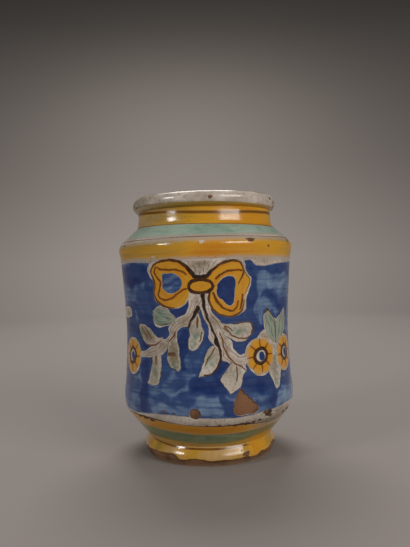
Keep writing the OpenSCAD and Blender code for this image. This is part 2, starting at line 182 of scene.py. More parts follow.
def outside_of(*names):
    """Heights and radii, in millimetres, of the rings on the outward faces of these CAD nodes; of rings less than
    1 mm apart, the widest."""
    rings = []
    for name in names:
        mesh = frame["nodes"][name].data
        spots = np.empty(3 * len(mesh.vertices), np.float32)
        mesh.vertices.foreach_get("co", spots)
        spots = spots.reshape(-1, 3).astype(float) / MM
        corners = np.empty(len(mesh.loops), np.int32)
        mesh.loops.foreach_get("vertex_index", corners)
        faces = spots[corners.reshape(-1, 3)]
        normal = np.cross(faces[:, 1] - faces[:, 0], faces[:, 2] - faces[:, 0])
        normal /= np.linalg.norm(normal, axis=1, keepdims=True) + 1e-12
        middle = faces.mean(1)[:, :2]
        out = (normal[:, :2] * middle).sum(1) > OUTWARD_SHARE * np.hypot(*middle.T)
        rings.append(faces[out].reshape(-1, 3))
    rings = np.concatenate(rings)
    height, which, many = np.unique(rings[:, 2].round(3), return_inverse=True, return_counts=True)
    radius = np.bincount(which.ravel(), np.hypot(rings[:, 0], rings[:, 1])) / many
    close = np.abs(height[:, None] - height) < 1
    keep = (many > RING_CORNERS) & (radius >= np.where(close, radius, 0).max(1))
    return height[keep], radius[keep]


def heights(node):
    """Lowest and highest level of a CAD node, in millimetres."""
    return tuple(corner.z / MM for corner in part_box(node))


FOOT = outside_of("foot_glaze")
WALL = outside_of("base_glaze", "wall_glaze")
SHOULDER = outside_of("shoulder_glaze")
NECK = outside_of("neck_glaze")
PANEL = heights("cobalt_ground")
WALL_LOW = heights("wall_glaze")[0]
RIM_TOP = heights("rim_glaze")[1]
RIM_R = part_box("rim_glaze")[1].x / MM
MOUTH_R = next(m for m in frame["record"]["mounts"] if m["name"] == "mouth")["dims"]["r_mm"]


def softer(a, b, soft):
    """The greater of two lengths, or the lesser when soft is negative; the change is rounded over soft millimetres."""
    return soft * np.logaddexp(a / soft, b / soft)


def skin(height, turn):
    """Radius of the glazed outside: foot, wall, shoulder and neck curves joined with soft corners, plus the
    wobble of a hand-thrown pot."""
    foot, wall, shoulder, neck = (curve(*zone, height) for zone in (FOOT, WALL, SHOULDER, NECK))
    neck = np.where(height > SHOULDER[0].mean(), neck, 0)
    body = softer(softer(wall, shoulder, -EDGE_SOFT), neck, NECK_SOFT)
    return softer(body, foot, FOOT_SOFT) + stray(height, turn)


def stray(height, turn):
    """How far the thrown wall strays from a true circle: three slow waves and a faint spiral 7 mm apart."""
    waves = np.sin(2 * turn + 0.6) + 0.5 * np.sin(3 * turn + height / 40) + 0.3 * np.sin(5 * turn - height / 23)
    return bpy.context.scene.jar_sizes.wobble / MM * (waves + 0.25 * np.sin(2 * np.pi * height / 7 + turn))


# Heights of the painted panel's lower and upper edge on the chart, in millimetres
CHART_LOW, CHART_HIGH = 38.0, 148.5
# Places round the whole turn at which coats and bands are worked out
DEGREES = np.linspace(-180, 180, 360, endpoint=False)
TURN = np.radians(DEGREES)


def on_jar(degrees, height, lift=0.0):
    """Points on the jar's outside: degrees round from the bow's side, height and lift in millimetres."""
    turn, height = np.broadcast_arrays(np.radians(degrees), np.asarray(height, float))
    radius = skin(height, turn) + lift
    return np.stack([radius * np.sin(turn), -radius * np.cos(turn), height], -1) * MM


def on_panel(chart, lift):
    """Points of the painted panel: chart degrees and chart millimetres, stretched to the CAD panel's height."""
    low, high = PANEL
    height = low + (chart[..., 1] - CHART_LOW) * (high - low) / (CHART_HIGH - CHART_LOW)
    return on_jar(chart[..., 0], height, lift)


def wavy(turn, size, seed, waves=(2, 3, 5, 11)):
    """Wobble of a hand-drawn ring: a few sine waves to the turn, each weaker as it gets shorter."""
    waves = np.array(waves)
    phase = seed * np.array([1.3, 2.9, 4.1, 0.7])[:len(waves)]
    return size * (np.sin(waves * np.asarray(turn)[..., None] + phase) / np.sqrt(waves)).sum(-1)


def rough(size, seed):
    """Wobble of a line drawn with a dry brush, round the whole turn: 7 to 43 waves."""
    return wavy(TURN, size, seed, (7, 17, 29, 43))


def swell(at, middle, reach):
    """A soft rise from 0 to 1 and back: exp(-d * d) with d = (at - middle) / reach."""
    return np.exp(-((at - middle) / reach) ** 2)


def swells(base, *places):
    """A value round the whole turn: base plus each place's strength times its swell. A place is its degree, its reach
    in degrees and its strength."""
    return base + sum(strength * swell(DEGREES, middle, reach) for middle, reach, strength in places)


def eased(share):
    """Smooth step from 0 to 1: 3 * x ** 2 - 2 * x ** 3, with the share x kept between 0 and 1."""
    share = np.clip(share, 0, 1)
    return share * share * (3 - 2 * share)


# Patches: grids of points with their faces, a tone and a fade for the pigment and a direction for the brush

# Millimetres round the panel to a degree, at its middling radius of 66 mm, and the scale from the chart to millimetres
DEGREE_MM = math.radians(1) * 66
FLAT = np.array([DEGREE_MM, 1])
# How far the first shape of each layer lies above the glaze and how much higher each next one lies, in millimetres
LIFTS = {"shoulder glaze": (-0.03, 0), "base glaze": (0, 0), "wall glaze": (0, 0), "ground": (0.05, 0),
         "reserve": (0.08, 0.002), "green": (0.13, 0.002), "strand": (0.138, 0.0005), "outline": (0.146, 0.0005),
         "petal": (0.16, 0.003), "ribbon": (0.175, 0.004), "eye": (0.18, 0.003), "fold": (0.182, 0.001),
         "ray": (0.185, 0.003), "flower ring": (0.19, 0.003), "bow line": (0.193, 0.0015), "vein": (0.205, 0.0015),
         "knot": (0.21, 0), "knot ring": (0.215, 0), "low yellow": (0.08, 0), "yellow band": (0.1, 0),
         "shoulder green": (0.1, 0), "base green": (0.12, 0), "neck line": (0.12, 0), "drip line": (0.12, 0),
         "shoulder line": (0.13, 0), "foot line": (0.14, 0), "base line": (0.16, 0), "pale spot": (0.16, 0),
         "rim chip": (0.12, 0), "chip": (0.24, 0)}


def lift_of(layer, seed=0):
    """Millimetres that a shape lies above the glaze: its layer's first lift plus the layer's step times its seed."""
    first, step = LIFTS[layer]
    return first + step * seed


def grid_faces(rows, cols, wrap):
    """Corners of each cell of a grid of points that is numbered row by row; wrap joins the last row to the first."""
    i, j = np.arange(rows if wrap else rows - 1)[:, None], np.arange(cols - 1)[None]
    k = (i + 1) % rows
    return np.stack([i * cols + j, k * cols + j, k * cols + j + 1, i * cols + j + 1], -1).reshape(-1, 4)


def patch(points, wrap=False, pole=False, tone=0.0, fade=0.0, brush=None, outward=False):
    """Faces of a grid of points. wrap closes it along its rows, pole draws its first column to one point, and unless
    its faces point outward already, they are turned to face away from the jar's axis."""
    rows, cols = points.shape[:2]
    quads = grid_faces(rows, cols, wrap)
    tone, fade = (np.broadcast_to(value, (rows, cols)).reshape(-1) for value in (tone, fade))
    brush = (points / MM if brush is None else brush).reshape(-1, 3)
    points, tris = points.reshape(-1, 3), np.empty((0, 3), int)
    if pole:
        number = np.maximum(np.arange(rows * cols).reshape(rows, cols) - np.arange(rows)[:, None], 1)
        number[:, 0] = 0
        keep = np.concatenate([[0], np.flatnonzero(np.arange(rows * cols) % cols)])
        first = quads[:, 0] % cols == 0
        quads = number.ravel()[quads]
        tris, quads = quads[first][:, [0, 2, 3]], quads[~first]
        points, tone, fade, brush = points[keep], tone[keep], fade[keep], brush[keep]
    if not outward:
        corner = points[quads]
        normal = np.cross(corner[:, 2] - corner[:, 0], corner[:, 3] - corner[:, 1])
        if (normal[:, :2] * corner.mean(1)[:, :2]).sum() < 0:
            quads, tris = quads[:, ::-1], tris[:, ::-1]
    return {"points": points, "quads": quads, "tris": tris, "tone": tone, "fade": fade, "brush": brush}


def ruled(first, last, across):
    """Chart grid from a line of points, or from one point, to another line: (1 - s) times the first plus s times the
    last."""
    s = np.linspace(0, 1, across)[None, :, None]
    return np.atleast_2d(np.asarray(first, float))[:, None] * (1 - s) + last[:, None] * s


def between(edge_a, edge_b, along, across, closed=False):
    """Chart grid ruled between two smooth edges."""
    return ruled(drawn(edge_a, along, closed), drawn(edge_b, along, closed), across)


def round_blob(centre, outline, along, across):
    """Chart grid from one centre point out to a closed smooth outline."""
    return ruled(centre, drawn(outline, along, True), across)


def stroke(points, along=None, across=3):
    """Chart grid of a brush stroke: its middle line through [degree, height, width] points, moved half a width
    to either side, with round ends. Further columns of the points are carried along."""
    points = np.asarray(points, float)
    path = drawn(points, along or 9 * len(points))
    flat = path[:, :2] * FLAT
    ahead = np.gradient(flat, axis=0)
    ahead /= np.linalg.norm(ahead, axis=1, keepdims=True)
    run = np.concatenate([[0], np.cumsum(np.hypot(*np.diff(flat, axis=0).T))])
    to_end = np.minimum(run, run[-1] - run)
    half = path[:, 2] / 2
    half = half * np.sqrt(1 - (1 - np.clip(to_end / np.maximum(half, 0.05), 0.04, 1)) ** 2)
    side = np.linspace(-1, 1, across)[None, :, None]
    sideways = np.stack([-ahead[:, 1], ahead[:, 0]], -1) / FLAT
    grid = path[:, None, :2] + side * (half[:, None] * sideways)[:, None]
    return grid, np.broadcast_to(path[:, None, 3:], grid.shape[:2] + (path.shape[1] - 3,))


def feathered(rows, cols, side, ends):
    """Fade of a grid: 1 along its edges, falling to 0 over a share of its width and of its length."""
    v, u = np.linspace(0, 1, rows)[:, None], np.linspace(0, 1, cols)[None]
    return np.clip(1 - np.minimum(np.minimum(u, 1 - u) / side, np.minimum(v, 1 - v) / ends), 0, 1)


def unsteady(chart):
    """Chart places moved by up to 0.24 mm each way as by an unsteady hand: sine waves about 6 and 3 mm long."""
    across, up = chart[..., 0] * DEGREE_MM, chart[..., 1]
    moved = np.stack([0.16 * np.sin(up / 1.1 + across / 2.3) + 0.08 * np.sin(up / 0.55 - across / 0.9),
                      0.16 * np.sin(across / 1.2 - up / 2.1) + 0.08 * np.sin(across / 0.6 + up / 0.8)], -1)
    return chart + moved / FLAT


def painted(chart, side, layer, seed=0, tone=0.0, fade=0.0, wrap=False, pole=False):
    """A patch of paint on the panel, carried round the jar by the side's degrees. It lies in the named layer, at the
    height that its seed gives it there, and its brush runs along the rows of the chart grid."""
    chart = unsteady(chart + [side, 0])
    flat = chart * FLAT
    middle = flat.mean(1)
    run = np.concatenate([[0], np.cumsum(np.hypot(*np.diff(middle, axis=0).T))])
    over = np.hypot(*np.moveaxis(flat - middle[:, None], -1, 0))
    over = over * np.linspace(-1, 1, chart.shape[1])[None]
    brush = np.stack(np.broadcast_arrays(run[:, None], seed * 37.0, over), -1)
    return patch(on_panel(chart, lift_of(layer, seed)), wrap, pole, tone, fade, brush)


def ring(low, high, layer, across, tone=0.0, soft=(0.0, 0.0), thin=0.0):
    """A patch round the whole jar between two heights, in the named layer, with across points from edge to edge.
    Heights, tone and thin may vary with the turn. It fades over the soft millimetres at its lower and upper edge, and
    evenly by thin."""
    s = np.linspace(0, 1, across)[None]
    low, high = (np.broadcast_to(edge, len(TURN))[:, None] for edge in (low, high))
    tone, thin = (value[:, None] if np.ndim(value) == 1 else value for value in (tone, thin))
    height = low * (1 - s) + high * s
    fade = [np.clip(1 - gap / width, 0, 1) for gap, width in zip((height - low, high - height), soft) if width]
    fade = np.max(fade + [np.broadcast_to(thin, height.shape)], axis=0)
    points = on_jar(DEGREES[:, None], height, lift_of(layer))
    return patch(points, wrap=True, tone=tone, fade=fade, outward=True)


def build(name, patches, depth, finish, slot, *nodes):
    """One piece of the named finish: the patches' faces, the same faces depth further in and turned round, and a strip
    of quads along each edge that belongs to one face only, so that every patch is a closed shell."""
    starts = np.cumsum([0] + [len(p["points"]) for p in patches])
    points = np.concatenate([p["points"] for p in patches])
    quads = np.concatenate([p["quads"] + s for p, s in zip(patches, starts)])
    tris = np.concatenate([p["tris"] + s for p, s in zip(patches, starts)])
    normal = np.zeros_like(points)
    for faces in (quads, tris):
        corner = points[faces]
        area = np.cross(corner[:, 2] - corner[:, 0], corner[:, -1] - corner[:, 1])
        np.add.at(normal, faces, area[:, None])
    normal /= np.linalg.norm(normal, axis=1, keepdims=True) + 1e-15
    count = len(points)
    edges = np.concatenate([np.stack([f, np.roll(f, -1, 1)], -1).reshape(-1, 2) for f in (quads, tris)])
    key = np.sort(edges, 1) @ [count, 1]
    _, first, many = np.unique(key, return_index=True, return_counts=True)
    a, b = edges[first[many == 1]].T
    rim = np.stack([b, a, a + count, b + count], -1)
    quads = np.concatenate([quads, quads[:, ::-1] + count, rim])
    tris = np.concatenate([tris, tris[:, ::-1] + count])
    mesh = bpy.data.meshes.new(name)
    mesh.from_pydata(np.concatenate([points, points - depth * normal]).tolist(), [], quads.tolist() + tris.tolist())
    for key, kind, width in (("tone", "FLOAT", 1), ("fade", "FLOAT", 1), ("brush", "FLOAT_VECTOR", 3)):
        values = np.concatenate([p[key].reshape(-1, width) for p in patches]).astype(np.float32)
        held = mesh.attributes.new(key, kind, "POINT")
        held.data.foreach_set("value" if width == 1 else "vector", np.concatenate([values, values]).ravel())
    mesh.polygons.foreach_set("use_smooth", np.ones(len(mesh.polygons), bool))
    mesh.set_sharp_from_angle(angle=math.radians(50))
    mesh.materials.append(finish_of(finish))
    piece = bpy.data.objects.new(name, mesh)
    bpy.context.scene.collection.objects.link(piece)
    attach(piece, "root")
    if nodes:
        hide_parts(*nodes)


def coat(name, shape, finish, slot, node):
    """One coat of glaze that stands for a CAD node."""
    build(name, [shape], bpy.context.scene.jar_sizes.glaze_t, finish, slot, node)


def paint(name, patches, finish, slot, *nodes):
    """One painted colour, or chips as thin as paint."""
    build(name, patches, bpy.context.scene.jar_sizes.paint_t, finish, slot, *nodes)


def finish_node(node, finish):
    """Gives the named finish to a CAD node that stays in view."""
    mesh = frame["nodes"][node].data
    mesh.materials.clear()
    mesh.materials.append(finish_of(finish))


# Materials

def add(tree, kind, inputs=None, **settings):
    """Adds one node: settings are its own properties, inputs give a socket a value or another node's output."""
    made = tree.nodes.new(kind)
    for name, value in settings.items():
        setattr(made, name, value)
    for socket, value in (inputs or {}).items():
        if isinstance(value, bpy.types.NodeSocket):
            tree.links.new(value, made.inputs[socket])
        elif made.inputs[socket].type == "RGBA":
            made.inputs[socket].default_value = (*value, 1.0)
        else:
            made.inputs[socket].default_value = value
    return made


def start(name):
    """An empty node material and its tree, with the Object coordinates, brush and tone that its patterns read."""
    material = bpy.data.materials.new(name)
    material.use_nodes = True
    tree = material.node_tree
    tree.nodes.clear()
    spot = add(tree, "ShaderNodeTexCoord").outputs["Object"]
    brush = add(tree, "ShaderNodeAttribute", attribute_name="brush").outputs["Vector"]
    tone = add(tree, "ShaderNodeAttribute", attribute_name="tone").outputs["Fac"]
    return material, tree, spot, brush, tone


def blended(tree, shade, over, value, low, high, least=0.0, most=1.0):
    """A colour that gives way to another: as a value goes from low to high, the other's share goes from least to most.
    On a colour Mix node, socket 0 is that share, 6 and 7 are the two colours, and output 2 is the result."""
    share = add(tree, "ShaderNodeMapRange", {
        "Value": value, "From Min": low, "From Max": high, "To Min": least, "To Max": most})
    return add(tree, "ShaderNodeMix", {0: share.outputs["Result"], 6: shade, 7: over}, data_type="RGBA").outputs[2]


def worn(tree, spot, shade, under, reach=1.6, soft=0.25):
    """Paint that gives way to another colour where the fade is high, broken up by noise of the given millimetres; the
    softer it is, the less the noise counts."""
    fade = add(tree, "ShaderNodeAttribute", attribute_name="fade").outputs["Fac"]
    noise = add(tree, "ShaderNodeTexNoise", {"Vector": spot, "Scale": 1 / (reach * MM), "Detail": 3.0})
    both = add(tree, "ShaderNodeMath", {0: noise.outputs["Fac"], 1: 0.95 - soft, 2: fade}, operation="MULTIPLY_ADD")
    middle = 1.025 - soft / 2
    return blended(tree, shade, under, both.outputs[0], middle - soft, middle + soft)


def glazed(tree, spot, shade, roughness=(0.1, 0.26)):
    """Fired glaze: a hard glassy coat with a slight orange peel, 2.5 mm across, and patches of duller gloss between the
    least and the greatest roughness."""
    peel = add(tree, "ShaderNodeTexNoise", {"Vector": spot, "Scale": 1 / (2.5 * MM), "Detail": 2.0})
    dull = add(tree, "ShaderNodeTexNoise", {"Vector": spot, "Scale": 1 / (14 * MM), "Detail": 4.0})
    gloss = add(tree, "ShaderNodeMapRange", {
        "Value": dull.outputs["Fac"], "From Min": 0.35, "From Max": 0.65,
        "To Min": roughness[0], "To Max": roughness[1]})
    bump = add(tree, "ShaderNodeBump", {"Height": peel.outputs["Fac"], "Strength": 0.2, "Distance": 0.2 * MM})
    shader = add(tree, "ShaderNodeBsdfPrincipled", {
        "Base Color": shade, "Roughness": gloss.outputs["Result"], "Normal": bump.outputs["Normal"], "IOR": 1.52})
    add(tree, "ShaderNodeOutputMaterial", {"Surface": shader.outputs["BSDF"]})


def streaks(tree, brush, along, across):
    """Noise drawn out along the brush, for the trails of its hairs; sizes in millimetres."""
    path = add(tree, "ShaderNodeVectorMath", {0: brush, 1: (1 / along, 1 / along, 1 / across)}, operation="MULTIPLY")
    return add(tree, "ShaderNodeTexNoise", {"Vector": path.outputs[0], "Scale": 1.0, "Detail": 3.0}).outputs["Fac"]


def specked(tree, spot, shade, c, strength):
    """Iron specks and pinholes, 0.5 to 1 mm wide and some 2.6 mm apart, in clusters."""
    cell = add(tree, "ShaderNodeTexVoronoi", {"Vector": spot, "Scale": 1 / (2.6 * MM)})
    dot = add(tree, "ShaderNodeMapRange", {
        "Value": cell.outputs["Distance"], "From Min": 0.1, "From Max": 0.2, "To Min": strength, "To Max": 0.0})
    cluster = add(tree, "ShaderNodeTexNoise", {"Vector": spot, "Scale": 1 / (9 * MM), "Detail": 2.0})
    there = add(tree, "ShaderNodeMapRange", {"Value": cluster.outputs["Fac"], "From Min": 0.48, "From Max": 0.58})
    both = add(tree, "ShaderNodeMath", {0: dot.outputs["Result"], 1: there.outputs["Result"]}, operation="MULTIPLY")
    return blended(tree, shade, c.speck, both.outputs[0], 0.0, 1.0)


def earthenware(c):
    """Thrown earthenware, fired and left bare: matt, gritty, warm brown with darker stains, dark with old grime where
    the tone is high, and grey in the lowest 4 mm: partly dust, partly a painted sheen along the foot's bottom edge."""
    material, tree, spot, _, tone = start("Earthenware, thrown, fired bare")
    stain = add(tree, "ShaderNodeTexNoise", {"Vector": spot, "Scale": 1 / (11 * MM), "Detail": 5.0})
    grit = add(tree, "ShaderNodeTexNoise", {"Vector": spot, "Scale": 1 / (0.9 * MM), "Detail": 3.0})
    level = add(tree, "ShaderNodeSeparateXYZ", {"Vector": spot})
    shade = blended(tree, c.clay, c.clay_dark, stain.outputs["Fac"], 0.42, 0.72)
    shade = blended(tree, shade, c.clay_dark, grit.outputs["Fac"], 0.5, 0.75, 0.0, 0.35)
    shade = blended(tree, shade, c.clay_dark, tone, 0.0, 1.0)
    # Grey over the lowest 4 mm: partly dust, partly a painted sheen along the foot's bottom edge
    shade = blended(tree, shade, c.dust_and_sheen, level.outputs["Z"], 0.0, 4 * MM, 0.6, 0.0)
    bump = add(tree, "ShaderNodeBump", {"Height": grit.outputs["Fac"], "Strength": 0.6, "Distance": 0.3 * MM})
    shader = add(tree, "ShaderNodeBsdfPrincipled", {
        "Base Color": shade, "Roughness": 0.85, "Normal": bump.outputs["Normal"]})
    add(tree, "ShaderNodeOutputMaterial", {"Surface": shader.outputs["BSDF"]})
    return material


def tin_white(c):
    """Tin glaze, dipped and fired: a soft pinkish white, cloudy, crazed in cells of 4 mm and specked with iron. A high
    tone is a thin copper wash on it; a high fade is old grime, and painted shade on the rim's left side and on the
    base."""
    material, tree, spot, _, tone = start("Tin glaze, white, dipped and fired")
    cloud = add(tree, "ShaderNodeTexNoise", {"Vector": spot, "Scale": 1 / (16 * MM), "Detail": 5.0})
    mottle = add(tree, "ShaderNodeTexNoise", {"Vector": spot, "Scale": 1 / (2.6 * MM), "Detail": 3.0})
    uneven = add(tree, "ShaderNodeMapRange", {
        "Value": mottle.outputs["Fac"], "From Min": 0.38, "From Max": 0.6, "To Min": 0.2, "To Max": 1.3})
    wash = add(tree, "ShaderNodeMath", {0: tone, 1: uneven.outputs["Result"]}, operation="MULTIPLY")
    craze = add(tree, "ShaderNodeTexVoronoi", {"Vector": spot, "Scale": 1 / (4 * MM)}, feature="DISTANCE_TO_EDGE")
    shade = blended(tree, c.white, c.white_thin, cloud.outputs["Fac"], 0.38, 0.66)
    shade = blended(tree, shade, c.stain, mottle.outputs["Fac"], 0.52, 0.7, 0.0, 0.45)
    shade = blended(tree, shade, c.green, wash.outputs[0], 0.0, 1.0)
    shade = worn(tree, spot, shade, c.stain, 2.4)
    shade = blended(tree, shade, c.speck, craze.outputs["Distance"], 0.01, 0.05, 0.1, 0.0)
    glazed(tree, spot, specked(tree, spot, shade, c, 0.8), (0.14, 0.3))
    return material


def antimony_yellow(c):
    """Antimony yellow brushed over tin glaze: honey yellow with trails of the brush, orange where the tone is high
    and olive where it is low."""
    material, tree, spot, brush, tone = start("Antimony yellow, brushed over tin glaze")
    trail = streaks(tree, brush, 26, 1.7)
    warm = add(tree, "ShaderNodeMapRange", {
        "Value": trail, "From Min": 0.3, "From Max": 0.7, "To Min": -0.14, "To Max": 0.14})
    level = add(tree, "ShaderNodeMath", {0: tone, 1: warm.outputs["Result"]}, operation="ADD")
    shade = blended(tree, c.yellow, c.orange, level.outputs[0], 0.5, 1.0)
    shade = blended(tree, shade, c.olive, level.outputs[0], 0.0, 0.5, 1.0, 0.0)
    shade = worn(tree, spot, shade, c.white_thin, 3.5, 0.45)
    glazed(tree, spot, specked(tree, spot, shade, c, 0.6))
    return material


def copper_green(c, name="Copper green, washed over tin glaze", under=None):
    """Copper green washed thin over tin glaze: mottled sea green that breaks to white, or to another colour that is
    given, where it runs out."""
    material, tree, spot, brush, tone = start(name)
    trail = streaks(tree, brush, 20, 2.2)
    pool = add(tree, "ShaderNodeTexNoise", {"Vector": spot, "Scale": 1 / (7 * MM), "Detail": 4.0})
    both = add(tree, "ShaderNodeMath", {0: trail, 1: pool.outputs["Fac"]}, operation="ADD")
    level = add(tree, "ShaderNodeMath", {0: both.outputs[0], 1: tone}, operation="ADD")
    shade = blended(tree, c.green_pale, c.green, level.outputs[0], 0.8, 1.7)
    shade = blended(tree, shade, c.green_deep, level.outputs[0], 1.7, 2.4)
    shade = worn(tree, spot, shade, under or c.white_thin, 2.5, 0.4)
    glazed(tree, spot, specked(tree, spot, shade, c, 0.5))
    return material


def green_on_yellow(c):
    """The same green washed over yellow: it thins to olive."""
    return copper_green(c, "Copper green, washed over yellow", c.olive)


def cobalt_blue(c):
    """Cobalt blue brushed over tin glaze: pale where the brush ran dry, navy where strokes overlap, in trails."""
    material, tree, spot, brush, tone = start("Cobalt blue, brushed over tin glaze")
    trail = streaks(tree, brush, 22, 2.0)
    pool = add(tree, "ShaderNodeTexNoise", {"Vector": spot, "Scale": 1 / (8 * MM), "Detail": 4.0})
    both = add(tree, "ShaderNodeMath", {0: trail, 1: pool.outputs["Fac"]}, operation="ADD")
    grain = add(tree, "ShaderNodeMapRange", {
        "Value": both.outputs[0], "From Min": 0.7, "From Max": 1.3, "To Min": -0.16, "To Max": 0.16})
    level = add(tree, "ShaderNodeMath", {0: tone, 1: grain.outputs["Result"]}, operation="ADD")
    shade = blended(tree, c.blue_pale, c.blue, level.outputs[0], 0.1, 0.55)
    shade = blended(tree, shade, c.blue_deep, level.outputs[0], 0.5, 1.0)
    shade = worn(tree, spot, shade, c.white_thin)
    glazed(tree, spot, specked(tree, spot, shade, c, 0.3), (0.14, 0.32))
    return material


def line_brown(c, name="Manganese brown, drawn under gloss", under=None):
    """Iron and manganese drawing under the gloss: brown where the brush was thin, near black where the tone is high.
    Where it wears thin, the glaze under it shows: white unless another colour is given."""
    material, tree, spot, _, tone = start(name)
    pool = add(tree, "ShaderNodeTexNoise", {"Vector": spot, "Scale": 1 / (3 * MM), "Detail": 3.0})
    grain = add(tree, "ShaderNodeMapRange", {
        "Value": pool.outputs["Fac"], "From Min": 0.3, "From Max": 0.7, "To Min": -0.25, "To Max": 0.25})
    level = add(tree, "ShaderNodeMath", {0: tone, 1: grain.outputs["Result"]}, operation="ADD")
    shade = blended(tree, c.brown, c.dark, level.outputs[0], 0.0, 1.0)
    glazed(tree, spot, worn(tree, spot, shade, under or c.white_thin, 0.9))
    return material


def line_on_yellow(c):
    """The same brown drawn over yellow: it thins to olive."""
    return line_brown(c, "Manganese brown, drawn on yellow", c.olive)


def seamless_paper(studio):
    """Seamless paper, matt: an even warm grey that turns darker up the backdrop, as painted shade where less light
    reaches it.
    """
    material, tree, spot, _, _ = start("Seamless paper, matt")
    level = add(tree, "ShaderNodeSeparateXYZ", {"Vector": spot}).outputs["Z"]
    shade = blended(tree, studio.near, studio.middle, level, 0.0, 0.15)
    shade = blended(tree, shade, studio.far, level, 0.2, 1.3)
    shader = add(tree, "ShaderNodeBsdfPrincipled", {"Base Color": shade, "Roughness": 0.9})
    add(tree, "ShaderNodeOutputMaterial", {"Surface": shader.outputs["BSDF"]})
    return material


MATERIALS = {"clay": earthenware, "white": tin_white, "yellow": antimony_yellow, "green": copper_green,
             "blue": cobalt_blue, "line": line_brown, "line on yellow": line_on_yellow,
             "green on yellow": green_on_yellow}
made_materials = {}


def finish_of(name):
    """The named material, made once from the scene's colours."""
    if name not in made_materials:
        made_materials[name] = MATERIALS[name](bpy.context.scene.jar_colours)
    return made_materials[name]


# Ornament, drawn on the chart: degrees round from the middle of the bow's side, millimetres above the table

# The bow: outlines of its loops, of the holes in them and of the white round them, and of the knot
LEFT_LOOP = [(-5, 135), (-8, 138.5), (-10.5, 143), (-14, 147.3), (-19, 149.8), (-24, 150.2), (-30, 148.8),
             (-34, 146.5), (-35.7, 143), (-35, 139), (-33.3, 135), (-33.7, 131), (-34.3, 127), (-33.5, 123),
             (-30.5, 120), (-27, 117.8), (-23.5, 116.8), (-18, 117), (-14.5, 119.2), (-12.2, 121.8), (-11, 125),
             (-10.5, 128), (-5, 130.5)]
LEFT_HOLE = [(-15, 135), (-16.5, 138.5), (-19.5, 140.5), (-24, 141), (-27.5, 140), (-27.6, 137), (-28, 133.5),
             (-27, 129.8), (-24, 127.3), (-20.5, 126.8), (-17.5, 128.5), (-15.3, 131.5)]
LEFT_HALO = [(-5, 136), (-8, 140.5), (-10.5, 144.5), (-14, 149), (-19, 151.2), (-24, 151.6), (-30, 150.4),
             (-36, 148.8), (-38.6, 144), (-37.2, 139), (-34.3, 135), (-34.4, 131), (-34.9, 127), (-34.2, 122.6),
             (-31.2, 119.4), (-27.5, 117.1), (-23.5, 116.2), (-17.8, 116.4), (-14, 118.6), (-11.6, 121.4),
             (-10.2, 124.7), (-9.5, 128), (-5, 130)]
RIGHT_LOOP = [(-1, 134), (1, 139), (4, 142.5), (8, 146), (12, 148), (17, 148.6), (21, 147.6), (22.5, 144.5),
              (24, 141), (25.5, 138.3), (27.8, 136.3), (28, 134), (27.3, 131.5), (25.8, 127.5), (24.5, 125),
              (23.9, 121), (23.4, 116.5), (21.6, 112.8), (17.3, 110), (13, 109.9), (8.5, 111.5), (5, 113.8),
              (2.8, 117.5), (1.6, 121.5), (1.5, 126), (2.5, 128.5), (-1, 131)]
RIGHT_HOLE = [(6.6, 131), (8, 134.5), (11, 137), (14.2, 138.2), (16.8, 136.8), (18.2, 133.8), (17.7, 130),
              (17.2, 124), (16.5, 119), (14.3, 117.2), (12.3, 118.3), (10, 121), (7.3, 123.5), (6.3, 126.5)]
RIGHT_HALO = [(-1, 135), (1, 140.5), (4, 144), (8, 147.6), (12, 149.5), (17, 150.2), (22.8, 149.6), (24.4, 146),
              (25.2, 141), (26.8, 138.5), (28.6, 136.6), (28.6, 133.2), (27.6, 129), (26, 124.5), (25, 120),
              (25, 114.4), (21.6, 111.4), (17, 109.5), (13, 109.3), (8.3, 110.9), (4.6, 113.2), (2.4, 117.2),
              (1.2, 121.5), (1, 126), (-1, 131)]
KNOT_MIDDLE = (-3.5, 131.6)
KNOT = [(-9.8, 131.5), (-7.9, 133.9), (-3.5, 134.8), (1.2, 133.9), (2.9, 131.5), (0.9, 128.9), (-3.5, 128.1),
        (-8, 128.9)]
KNOT_RING = [(-11.6, 131.6), (-9.2, 135.9), (-3.5, 137.2), (2.6, 135.8), (4.9, 131.4), (2.4, 127), (-3.5, 126.1),
             (-9.3, 127)]

